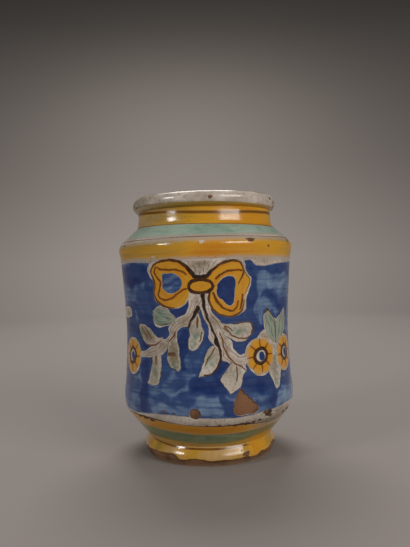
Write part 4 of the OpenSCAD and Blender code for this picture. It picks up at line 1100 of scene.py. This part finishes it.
class JAR_OT_glaze(bpy.types.Operator):
    """Coats rim, neck, shoulder, wall, base, foot and inside with glaze"""
    bl_idname = "jar.glaze"
    bl_label = "Glaze coats"

    def execute(self, context):
        finish_node("lining_glaze", "white")
        degrees, left = DEGREES[:, None], np.clip(-np.sin(TURN), 0, 1)[:, None]

        # The white of the rim begins at a wavering border, with the neck's yellow under it
        s = np.linspace(0, 1, 60)[None]
        border = 0.235 - 0.05 * np.sin(TURN) ** 2 - 0.03 * np.sin(TURN) + wavy(TURN, 0.008, 1.7, (5, 9, 14, 31))
        border = border[:, None]
        # The rim's white is stained towards its left side, painted shade on that side; a thin stain also runs along its
        # lower border
        rim = patch(on_rim(degrees, border + (1 - border) * s), wrap=True, fade=0.3 * (s < 0.06) + 0.7 * left,
                    outward=True)
        coat("rim_coat", rim, "white", "white_glaze", "rim_glaze")

        up = np.linspace(0, 1, 14)[None]
        neck = on_jar(degrees, neck_edge()[:, None] * (1 - up) + NECK[0][-1] * up)
        under = on_rim(degrees, border * np.linspace(0, 1, 9)[None, 1:])
        warm = (0.5 + 0.12 * np.sin(TURN) * np.cos(TURN / 2) + 0.14 * np.sin(3 * TURN))[:, None]
        # Under the rim the yellow turns olive towards the lip: partly glaze pooled there, partly painted shade under
        # the rim
        warm = np.concatenate([warm - 0.25 * left ** 1.5 + 0 * up, warm - np.linspace(0.25, 0.6, 8)], 1)
        neck = patch(np.concatenate([neck, under], 1), wrap=True, tone=warm, fade=0.5 * left ** 1.5, outward=True)
        coat("neck_coat", neck, "yellow", "yellow_glaze", "neck_glaze")

        edge = SHOULDER[0][0]
        coat("shoulder_coat", ring(edge - 0.5, neck_edge(), "shoulder glaze", 26), "white", "white_glaze",
             "shoulder_glaze")

        # The wall's rows are closer together at its top, where it turns in to the shoulder
        level = np.concatenate([np.linspace(WALL_LOW, 158, 97), np.linspace(158.6, edge, 13)])
        chart = np.stack(np.meshgrid(np.linspace(-180, 180, 420, endpoint=False), level, indexing="ij"), -1)
        right = swell(chart[..., 0], 50, 18)
        dirt_and_shade = 0.45 * swell(chart[..., 1], 149, 4) + (0.15 + 0.55 * right) * swell(chart[..., 1], 38, 4)
        coat("wall_coat", pierced(chart, "wall glaze", 0.0, dirt_and_shade), "white", "white_glaze", "wall_glaze")

        # Stain on the base's white, heavier towards the foot and at the sides near 62 degrees: partly old stain, partly
        # painted shade of the base, which faces down
        dirt_and_shade = np.interp(np.linspace(0, 1, 24), [0, 0.78, 0.84, 1], [0.7, 0.7, 0.4, 0.2])
        dirt_and_shade = dirt_and_shade + swells(0.0, (-62, 22, 0.5), (62, 20, 0.35))[:, None]
        base = ring(FOOT[0][-1], WALL_LOW, "base glaze", 24, thin=dirt_and_shade)
        coat("base_coat", base, "white", "white_glaze", "base_glaze")

        # On the foot the brush runs downwards, so its trails are drips
        up = np.linspace(0, 1, 16)[None]
        level = drip_edge()[:, None] * (1 - up) + FOOT[0][-1] * up
        # Round 43 degrees the foot's yellow is fuller and less pale: painted light, as on a face turned up to the lamps
        pale = swells(0.32, (-58, 18, -0.16), (64, 14, 0.05), (43, 12, -0.3))
        pale = (pale + 0.1 * np.sin(9 * TURN + 1) + 0.08 * np.sin(4 * TURN))[:, None] - 0.1 * up
        warm = swells(0.32, (-58, 18, -0.14), (64, 14, -0.1), (43, 12, 0.28))
        warm = (warm + 0.14 * np.sin(23 * TURN) * swell(DEGREES, -58, 18))[:, None]
        drips = np.stack([level, 0 * level, TURN[:, None] * 22 + 0 * level], -1)
        foot = patch(on_jar(degrees, level), wrap=True, tone=warm, fade=pale, brush=drips, outward=True)
        coat("foot_coat", foot, "yellow", "yellow_glaze", "foot_glaze")
        return {"FINISHED"}


class JAR_OT_bands(bpy.types.Operator):
    """Paints the lines and bands that run round the jar"""
    bl_idname = "jar.bands"
    bl_label = "Painted bands"

    def execute(self, context):
        hand = context.scene.jar_sizes.hand / MM
        aside, away = np.sin(TURN), np.sin(TURN) ** 2

        low, high = heights("neck_line")
        rise = 3.2 * away - aside + wavy(TURN, hand, 1)
        edge = neck_edge()
        line = ring(low - 0.1 + rise, high + 0.2 + rise + rough(0.1, 2), "neck line", 8, tone=-0.2, soft=(0.9, 0.9),
                    thin=0.15)
        border = ring(edge, edge + 0.6 + rough(0.1, 3), "neck line", 3, tone=0.2, soft=(0.2, 0.3), thin=0.2)
        paint("neck_line_paint", [line, border], "line on yellow", "brown_line", "neck_line")

        low = heights("shoulder_green")[0] - 0.4 + wavy(TURN, hand, 4)
        tone = 0.12 * np.sin(5 * TURN + 1) + swells(0.0, (-55, 30, -0.25))
        wash = ring(low, edge - 0.1, "shoulder green", 20, tone=tone, soft=(3, 0.5),
                    thin=swells(0.0, (-60, 30, 0.25)))
        paint("shoulder_green_paint", [wash], "green", "copper_green", "shoulder_green")

        low, high = heights("shoulder_line")
        rise = wavy(TURN, 0.7 * hand, 5)
        line = ring(low - 0.2 + rise, high + rise, "shoulder line", 6, soft=(0.5, 0.5),
                    thin=0.35 + 0.25 * np.sin(3 * TURN) ** 2)
        paint("shoulder_line_paint", [line], "line", "dark_line", "shoulder_line")

        low, high = heights("shoulder_band")
        low, high = low - 0.6 + wavy(TURN, 1.6 * hand, 6), high + 3.4 + 1.1 * aside + wavy(TURN, hand, 7)
        tone = swells(0.5, (3, 15, 0.3), (-62, 28, -0.3)) + 0.1 * np.sin(4 * TURN)
        tone = tone[:, None] - 0.4 * np.clip(np.linspace(-2, 1, 26), 0, 1)
        band = ring(low, high, "yellow band", 26, tone=tone, soft=(3.2, 4.4))
        paint("shoulder_band_paint", [band], "yellow", "yellow_glaze", "shoulder_band")

        # The bands of the base climb at the sides: rise is its top, middle the border between its yellow and green
        rise = curve(*np.transpose(BASE_TOP), DEGREES)
        middle = np.maximum(0.7 * (rise - 0.9), 1.2 * away)
        low = heights("base_line")[0] + rise + rough(0.25, 8)
        thick = swells(0.3, (-50, 16, 1.1), (22, 14, 0.5), (60, 12, 0.5), (150, 25, 0.8), (-20, 8, -0.35))
        high = low + 0.5 + thick * (1 + np.clip(rough(0.6, 9), -0.8, 2))
        line = ring(low, high, "base line", 8, tone=0.7, soft=(0.2, 0.3))
        paint("base_line_paint", [line], "line", "brown_line", "base_line")

        low, high = heights("base_yellow")
        low = low + middle
        high = np.maximum(high + rise, low + 1.6) + rough(0.2, 11)
        # The base's yellow is laid a deeper orange than the shoulder's: partly thicker glaze, partly painted shade of
        # the base, which faces down
        tone = swells(0.76, (46, 24, -0.5), (-58, 24, -0.3)) + 0.1 * np.sin(5 * TURN)
        band = ring(low + wavy(TURN, hand, 10), high, "yellow band", 14, tone=tone, soft=(1.2, 0.6),
                    thin=swells(0.0, (52, 22, 0.65)))
        low, high = heights("base_green")
        # Round 48 degrees the green starts higher and the low yellow under it is fuller and brighter: painted light, as
        # on the foot's upturned top
        low, high = low + 3 * away + swells(0.0, (52, 18, 3.2)), high + middle + 0.4 * away + wavy(TURN, hand, 13)
        below = ring(FOOT[0][-1] - 0.8, low + 1.4, "low yellow", 10, tone=swells(0.28, (48, 16, 0.25)), soft=(0, 1),
                     thin=swells(0.3, (48, 16, -0.25)))
        paint("base_yellow_paint", [band, below], "yellow", "yellow_glaze", "base_yellow")
        wash = ring(low + wavy(TURN, hand, 12), high, "base green", 12, tone=0.55, soft=(2, 1.8),
                    thin=swells(0.4, (48, 18, 0.3)) + 0.2 * away)
        paint("base_green_paint", [wash], "green on yellow", "copper_green", "base_green")

        # The line on the foot runs out on the right; a second one follows the drips
        low, high = heights("foot_line")
        thick = (high - low) * (1 - 0.97 * np.clip(swells(-0.35, (55, 24, 2.2)), 0, 1))
        low = low + 2.4 * away + wavy(TURN, hand, 14)
        drip = drip_edge()
        line = ring(low, low + thick, "foot line", 6, soft=(0.3, 0.3), thin=0.1)
        high = drip + 0.8 + np.clip(rough(0.5, 15), -0.3, 1)
        border = ring(drip + 0.1, high, "drip line", 5, tone=0.35, soft=(0, 0.5), thin=0.15)
        paint("foot_line_paint", [line, border], "line on yellow", "brown_line", "foot_line")
        return {"FINISHED"}


class JAR_OT_ground(bpy.types.Operator):
    """Brushes the blue ground of the panel"""
    bl_idname = "jar.ground"
    bl_label = "Blue ground"

    def execute(self, context):
        steps, across = 440, 108
        degrees = np.linspace(-180, 180, steps, endpoint=False)
        front = (degrees + 90) % 180 - 90
        low = curve(*np.transpose(GROUND_LOW), front) + wavy(np.radians(degrees), 0.5, 2.2, (7, 13, 31))
        high = curve(*np.transpose(GROUND_HIGH), front) + wavy(np.radians(degrees), 0.3, 5.2, (7, 13, 31))
        low, high, s = low[:, None], high[:, None], np.linspace(0, 1, across)[None]
        level = low * (1 - s) + high * s
        chart = np.stack(np.broadcast_arrays(degrees[:, None], level), -1)
        front = np.stack(np.broadcast_arrays(front[:, None], level), -1)
        tone = np.tile(blue_tone(front[:steps // 2]), (2, 1))
        tone += (BLUE_JOIN - tone) * eased((np.abs(front[..., 0]) - JOIN_FROM) / (90 - JOIN_FROM))
        fade = 0.9 * np.clip(1 - np.minimum(level - low, high - level) / 1.2, 0, 1)
        ground = pierced(chart, "ground", tone, fade)
        paint("blue_ground", [ground], "blue", "cobalt_blue", "cobalt_ground")
        return {"FINISHED"}


class JAR_OT_reserves(bpy.types.Operator):
    """Lays the white shapes that the blue leaves open: trunks, leaves and halos"""
    bl_idname = "jar.reserves"
    bl_label = "White reserves"

    def execute(self, context):
        loops = [between(LEFT_HALO, LEFT_HOLE, 120, 8, True), between(RIGHT_HALO, RIGHT_HOLE, 120, 8, True)]
        shapes = [between(*edges, 60, 12) for edges in WHITE_SHAPES.values()]
        green = [between(*edges, 40, 10) for edges in GREEN_SHAPES.values()]
        shapes += [chart * 1.12 - chart[:, 4:6].mean(1, keepdims=True) * 0.12 for chart in green]
        circle = np.linspace(0, 2 * np.pi, 24, endpoint=False)
        patches = []
        for side in SIDES:
            for seed, chart in enumerate(loops + shapes):
                closed = seed < len(loops)
                clean = 1 - 0.85 * np.linspace(-1, 1, chart.shape[1]) ** 4
                dirt_and_shade = 0.35 if closed else (0.22 + soft_spots(chart, DIRT)) * clean
                patches.append(painted(chart, side, "reserve", seed, soft_spots(chart, WASHES), dirt_and_shade, closed))
            for seed, centre in enumerate(FLOWERS, len(loops) + len(shapes)):
                reach = context.scene.jar_sizes.flower_r / MM + 0.3 + 0.5 * np.sin(3 * circle + seed)[:, None]
                outline = np.stack([np.cos(circle), np.sin(circle)], -1) * (reach / FLAT) + centre
                chart = round_blob(centre, outline, 60, 8)
                patches.append(painted(chart, side, "reserve", seed, 0.0, 0.2, True, True))
        patches += [ragged_spot("pale spot", seed, *spot, fade=0.25) for seed, spot in enumerate(PALE_SPOTS)]
        paint("white_reserves", patches, "white", "white_glaze")
        return {"FINISHED"}


class JAR_OT_leaves(bpy.types.Operator):
    """Washes the green leaves and draws veins and stems"""
    bl_idname = "jar.leaves"
    bl_label = "Leaves and stems"

    def execute(self, context):
        outlines, hatching = [], []
        for name, edges in WHITE_SHAPES.items():
            chart = between(*edges, 24, 11)
            if "leaf" in name:
                outlines += [chart[:, 0], chart[:, -1]]
            elif name == "crown":
                hatching += [chart[k, 1:] for k in range(4, 20, 3)]
            elif "trunk" in name:
                hatching += [chart[2:-1, k] for k in (2, 5, 8)]
        washes = [between(*edges, 40, 14) for edges in GREEN_SHAPES.values()]
        washes = [chart * 0.92 + chart[:, 7:8] * 0.08 for chart in washes]
        outlines += [edge for chart in washes for edge in (chart[::2, 0], chart[::2, -1])]
        green, veins, stems = [], [], []
        for side in SIDES:
            for seed, chart in enumerate(washes):
                depth = 0.15 if seed else 0.45
                green.append(painted(chart, side, "green", seed, depth, feathered(40, 14, 0.2, 0.1)))
                for k in range(2, 14, 2):
                    width = 1.5 + 0.7 * np.sin(np.arange(34) / 4 + 2 * k)
                    strand, _ = stroke(np.column_stack([chart[3:37, k], width]), 60, 5)
                    dark = depth + 0.5 + 0.5 * np.sin(k + np.arange(60) / 9)[:, None]
                    green.append(painted(strand, side, "strand", k, dark, 0.75 * feathered(60, 5, 0.7, 0.3)))
            for seed, line in enumerate(outlines + hatching):
                width, dark = (0.36, 0.8) if seed < len(outlines) else (0.3, 0.2)
                chart, _ = stroke(np.column_stack([line, np.full(len(line), width)]), 60)
                thin = 0.5 + 0.25 * np.sin(np.arange(60) / 5 + 2.7 * seed)[:, None]
                veins.append(painted(chart, side, "outline", seed, dark, thin))
            thin = 0.1 + 0.45 * np.linspace(-1, 1, 5) ** 2
            for bundle, strokes, thin in ((veins, VEIN_STROKES, thin), (stems, STEM_STROKES, 0.0)):
                for seed, points in enumerate(strokes):
                    chart, dark = stroke(points, None, 5)
                    bundle.append(painted(chart, side, "vein", seed, dark[..., 0], thin))
        paint("green_leaf_washes", green, "green", "copper_green", "green_leaves")
        paint("leaf_vein_drawing", veins, "line", "brown_line", "leaf_veins")
        paint("stem_drawing", stems, "line", "dark_line", "stems")
        return {"FINISHED"}


class JAR_OT_bow(bpy.types.Operator):
    """Paints the yellow bow and draws it in brown"""
    bl_idname = "jar.bow"
    bl_label = "Bow"

    def execute(self, context):
        ribbon, lines = [], []
        waves = np.sin(np.linspace(0, 4 * np.pi, 140))[:, None] * np.sin(np.linspace(0, 3 * np.pi, 14))
        ridge = 1 - np.abs(np.linspace(-1, 1, 7))
        for side in SIDES:
            for seed, (outer, hole) in enumerate(((LEFT_LOOP, LEFT_HOLE), (RIGHT_LOOP, RIGHT_HOLE))):
                middle = np.mean(hole, 0)
                inner = middle + (np.array(hole) - middle) * 1.05
                chart = between(outer, inner, 140, 14, True)
                ribbon.append(painted(chart, side, "ribbon", seed, RIBBON_TONE + 0.2 * waves, 0.0, True))
            for seed in FOLDS:
                points = np.array(BOW_STROKES[seed])
                points[:, 2] = 3
                chart, _ = stroke(points, None, 7)
                ribbon.append(painted(chart, side, "fold", seed, RIBBON_TONE + 0.45 * ridge))
            knot = round_blob(KNOT_MIDDLE, KNOT, 48, 8)
            ribbon.append(painted(knot, side, "knot", 5, RIBBON_TONE, 0.0, True, True))
            around = between(KNOT, KNOT_RING, 64, 4, True)
            lines.append(painted(around, side, "knot ring", 6, 0.75, 0.0, True))
            for seed, points in enumerate(BOW_STROKES):
                chart, dark = stroke(np.array(points) * [1, 1, 1.3, 1], None, 5)
                lines.append(painted(chart, side, "bow line", seed, dark[..., 0]))
        paint("bow_ribbon_paint", ribbon, "yellow", "yellow_glaze", "bow_ribbon")
        paint("bow_drawing", lines, "line", "brown_line", "bow_lines")
        return {"FINISHED"}


FLOWER_TURN = np.linspace(0, 2 * np.pi, 96, endpoint=False)
FLOWER_WAY = np.stack([np.cos(FLOWER_TURN), np.sin(FLOWER_TURN)], -1)
# A flower's sizes in millimetres: inner edge of the petals, edges of the dark ring, half width and height of the eye
PETAL_START, FLOWER_RING, EYE = 6.2, (4.2, 6.9), (2.8, 3.2)
# Where the eye sits off the flower's middle, in millimetres
EYE_ASIDE = (0.9, -0.3)
# A ray between petals: distance from the middle, width and darkness
RAY = ((6.3, 1.1, 0.6), (9, 0.8, 0.2), (12.6, 0.5, 0.1))


def circle_at(centre, radius):
    """Chart points of a closed line round a centre; the radius, in millimetres, may vary along it."""
    return centre + FLOWER_WAY * np.broadcast_to(radius, FLOWER_TURN.shape)[:, None] / FLAT


class JAR_OT_flowers(bpy.types.Operator):
    """Paints the flowers: petals, dark rings with rays, and blue eyes"""
    bl_idname = "jar.flowers"
    bl_label = "Flowers"

    def execute(self, context):
        reach, count = context.scene.jar_sizes.flower_r / MM, context.scene.jar_sizes.petals
        petals, rings, eyes = [], [], []
        s = np.linspace(0, 1, 8)[None]
        for side in SIDES:
            for seed, centre in enumerate(np.array(FLOWERS)):
                phase = 0.06 * seed
                notch = np.abs(np.cos(count * (FLOWER_TURN - phase) / 2)) ** 6
                edge = reach - 2 * notch + 0.4 * np.sin(3 * FLOWER_TURN + seed)
                chart = ruled(circle_at(centre, PETAL_START), circle_at(centre, edge), 8)
                shade = 0.38 + 0.32 * (1 - s) + 0.45 * notch[:, None]
                petals.append(painted(chart, side, "petal", seed, shade, 0.55 * s ** 3, True))
                inner, outer = (circle_at(centre, r + 0.35 * np.sin(2 * FLOWER_TURN + seed)) for r in FLOWER_RING)
                rings.append(painted(ruled(inner, outer, 4), side, "flower ring", seed, 0.75, 0.0, True))
                for ray in np.arange(count) * 2 * np.pi / count + phase:
                    way = np.array([np.cos(ray), np.sin(ray)]) / FLAT
                    chart, dark = stroke([(*(centre + way * r), width, tone) for r, width, tone in RAY])
                    rings.append(painted(chart, side, "ray", seed, dark[..., 0]))
                middle = centre + EYE_ASIDE / FLAT
                chart = ruled(middle, middle + FLOWER_WAY * (EYE / FLAT), 6)
                eyes.append(painted(chart, side, "eye", seed, 0.85, 0.0, True, True))
        paint("petal_paint", petals, "yellow", "yellow_glaze", "flower_petals")
        paint("flower_ring_drawing", rings, "line", "dark_line", "flower_rings")
        paint("flower_eye_paint", eyes, "blue", "cobalt_blue", "flower_eyes")
        return {"FINISHED"}


class JAR_OT_chips(bpy.types.Operator):
    """Lays bare the clay in small chips of the glaze"""
    bl_idname = "jar.chips"
    bl_label = "Chips"

    def execute(self, context):
        patches = [ragged_spot("chip", seed, *chip, tone=0.6 + 0.4 * math.sin(3 * seed))
                   for seed, chip in enumerate(CHIPS)]
        for seed, (degree, place, wide, tall) in enumerate(RIM_CHIPS):
            spots = ragged(seed + 0.4) * [math.degrees(wide / RIM_R), 0.045 * tall] + [degree, place]
            points = on_rim(spots[..., 0], spots[..., 1], lift_of("rim chip"))
            patches.append(patch(points, wrap=True, pole=True, tone=0.3))
        patches += [painted(between(*LEAF_CHIP, 14, 5), side, "chip") for side in SIDES]
        paint("glaze_chips", patches, "clay", "earthenware")
        return {"FINISHED"}


# Studio, in metres: radii of the floor's rings, and the flat part, the bend and the top of the seamless paper
FLOOR_RINGS = (0.0, 0.3, 0.8)
PAPER_FLAT, PAPER_BEND, PAPER_TOP = 1.5, 0.7, 2.4
WARM, NEUTRAL, COOL = (1.0, 0.96, 0.9), (1.0, 0.98, 0.95), (0.95, 0.97, 1.0, 1)
# Lamps: name, place, what it points at, width and height, and tint; the studio settings hold their powers
LAMPS = [("key", (0.85, -0.92, 0.66), (0, 0, 0.11), (0.8, 0.4), WARM),
         ("side", (-1.0, -0.66, 0.62), (0, 0, 0.11), (0.3, 0.22), NEUTRAL),
         ("top", (-0.05, 0.65, 1.25), (0, 0.05, 0), (0.7, 0.5), NEUTRAL),
         ("glow", (-0.05, 1.4, 1.0), (-0.05, 1.85, 0.3), (0.6, 0.5), NEUTRAL)]


def paper_sheets():
    """Floor and backdrop, turned on the jar's axis: a disc, a quarter circle that bends up, and a straight wall."""
    a = np.radians(np.linspace(0, 90, 16))
    radius = np.concatenate([FLOOR_RINGS, PAPER_FLAT + PAPER_BEND * np.sin(a), [PAPER_FLAT + PAPER_BEND]])
    height = np.concatenate([np.zeros(len(FLOOR_RINGS)), PAPER_BEND * (1 - np.cos(a)), [PAPER_TOP]])
    turn = np.radians(np.linspace(-180, 180, 96, endpoint=False))[:, None]
    points = np.stack(np.broadcast_arrays(radius * np.sin(turn), -radius * np.cos(turn), height), -1)
    last = len(FLOOR_RINGS)
    floor = patch(points[:, :last + 1], wrap=True, pole=True, outward=True)
    return {"floor": floor, "backdrop": patch(points[:, last:], wrap=True, outward=True)}


class JAR_OT_studio(bpy.types.Operator):
    """Sets up floor, backdrop, lamps and camera"""
    bl_idname = "jar.studio"
    bl_label = "Studio"

    def execute(self, context):
        scene = context.scene
        studio = scene.jar_studio
        paper = seamless_paper(studio)
        for name, sheet in paper_sheets().items():
            mesh = bpy.data.meshes.new(name)
            faces = sheet["quads"][:, ::-1].tolist() + sheet["tris"][:, ::-1].tolist()
            mesh.from_pydata(sheet["points"].tolist(), [], faces)
            mesh.polygons.foreach_set("use_smooth", np.ones(len(mesh.polygons), bool))
            mesh.materials.append(paper)
            piece = bpy.data.objects.new(name, mesh)
            scene.collection.objects.link(piece)
            if name == "backdrop":
                piece.visible_diffuse = False
                piece.visible_shadow = False
        for name, place, target, size, tint in LAMPS:
            lamp = bpy.data.lights.new(name, "AREA")
            lamp.shape = "RECTANGLE"
            lamp.size, lamp.size_y = size
            lamp.energy = getattr(studio, name + "_power")
            lamp.color = tint
            holder = bpy.data.objects.new(name, lamp)
            aim = np.subtract(target, place)
            yaw = math.atan2(aim[1], aim[0]) - math.pi / 2
            holder.rotation_euler = (math.acos(-aim[2] / np.linalg.norm(aim)), 0, yaw)
            holder.location = place
            scene.collection.objects.link(holder)
        world = bpy.data.worlds.new("Soft light all round")
        world.use_nodes = True
        sky = world.node_tree.nodes["Background"].inputs
        sky["Color"].default_value = COOL
        sky["Strength"].default_value = studio.fill
        scene.world = world
        camera = bpy.data.cameras.new("camera")
        camera.sensor_width = 36
        camera.lens = studio.focal
        holder = bpy.data.objects.new("camera", camera)
        holder.location = (studio.camera_x, -studio.camera_d, studio.camera_h)
        holder.rotation_euler = (math.pi / 2, studio.roll, 0)
        scene.collection.objects.link(holder)
        scene.camera = holder
        scene.view_settings.view_transform = "Standard"
        return {"FINISHED"}


STEPS = (JAR_OT_clay, JAR_OT_glaze, JAR_OT_bands, JAR_OT_ground, JAR_OT_reserves, JAR_OT_leaves, JAR_OT_bow,
         JAR_OT_flowers, JAR_OT_chips, JAR_OT_studio)


class JAR_PT_panel(bpy.types.Panel):
    """Lists the steps that dress the jar, with their sizes and colours"""
    bl_idname = "JAR_PT_panel"
    bl_label = "Painted drug jar"
    bl_space_type = "VIEW_3D"
    bl_region_type = "UI"
    bl_category = "Jar"

    def draw(self, context):
        for step in STEPS:
            self.layout.operator(step.bl_idname)
        for group in (context.scene.jar_sizes, context.scene.jar_colours, context.scene.jar_studio):
            box = self.layout.box()
            for key in group.__annotations__:
                box.prop(group, key)


GROUPS = {"jar_sizes": JarSizes, "jar_colours": JarColours, "jar_studio": StudioSettings}


def register():
    """Registers the groups, operators and panel, and hangs the groups on the scene."""
    for cls in (*GROUPS.values(), *STEPS, JAR_PT_panel):
        bpy.utils.register_class(cls)
    for key, cls in GROUPS.items():
        setattr(bpy.types.Scene, key, bpy.props.PointerProperty(type=cls))


def unregister():
    """Takes away what register added."""
    for key in GROUPS:
        delattr(bpy.types.Scene, key)
    for cls in (JAR_PT_panel, *reversed(STEPS), *GROUPS.values()):
        bpy.utils.unregister_class(cls)


def main():
    """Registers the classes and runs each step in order."""
    register()
    bpy.ops.jar.clay()
    bpy.ops.jar.glaze()
    bpy.ops.jar.bands()
    bpy.ops.jar.ground()
    bpy.ops.jar.reserves()
    bpy.ops.jar.leaves()
    bpy.ops.jar.bow()
    bpy.ops.jar.flowers()
    bpy.ops.jar.chips()
    bpy.ops.jar.studio()


if __name__ == "__main__":
    main()
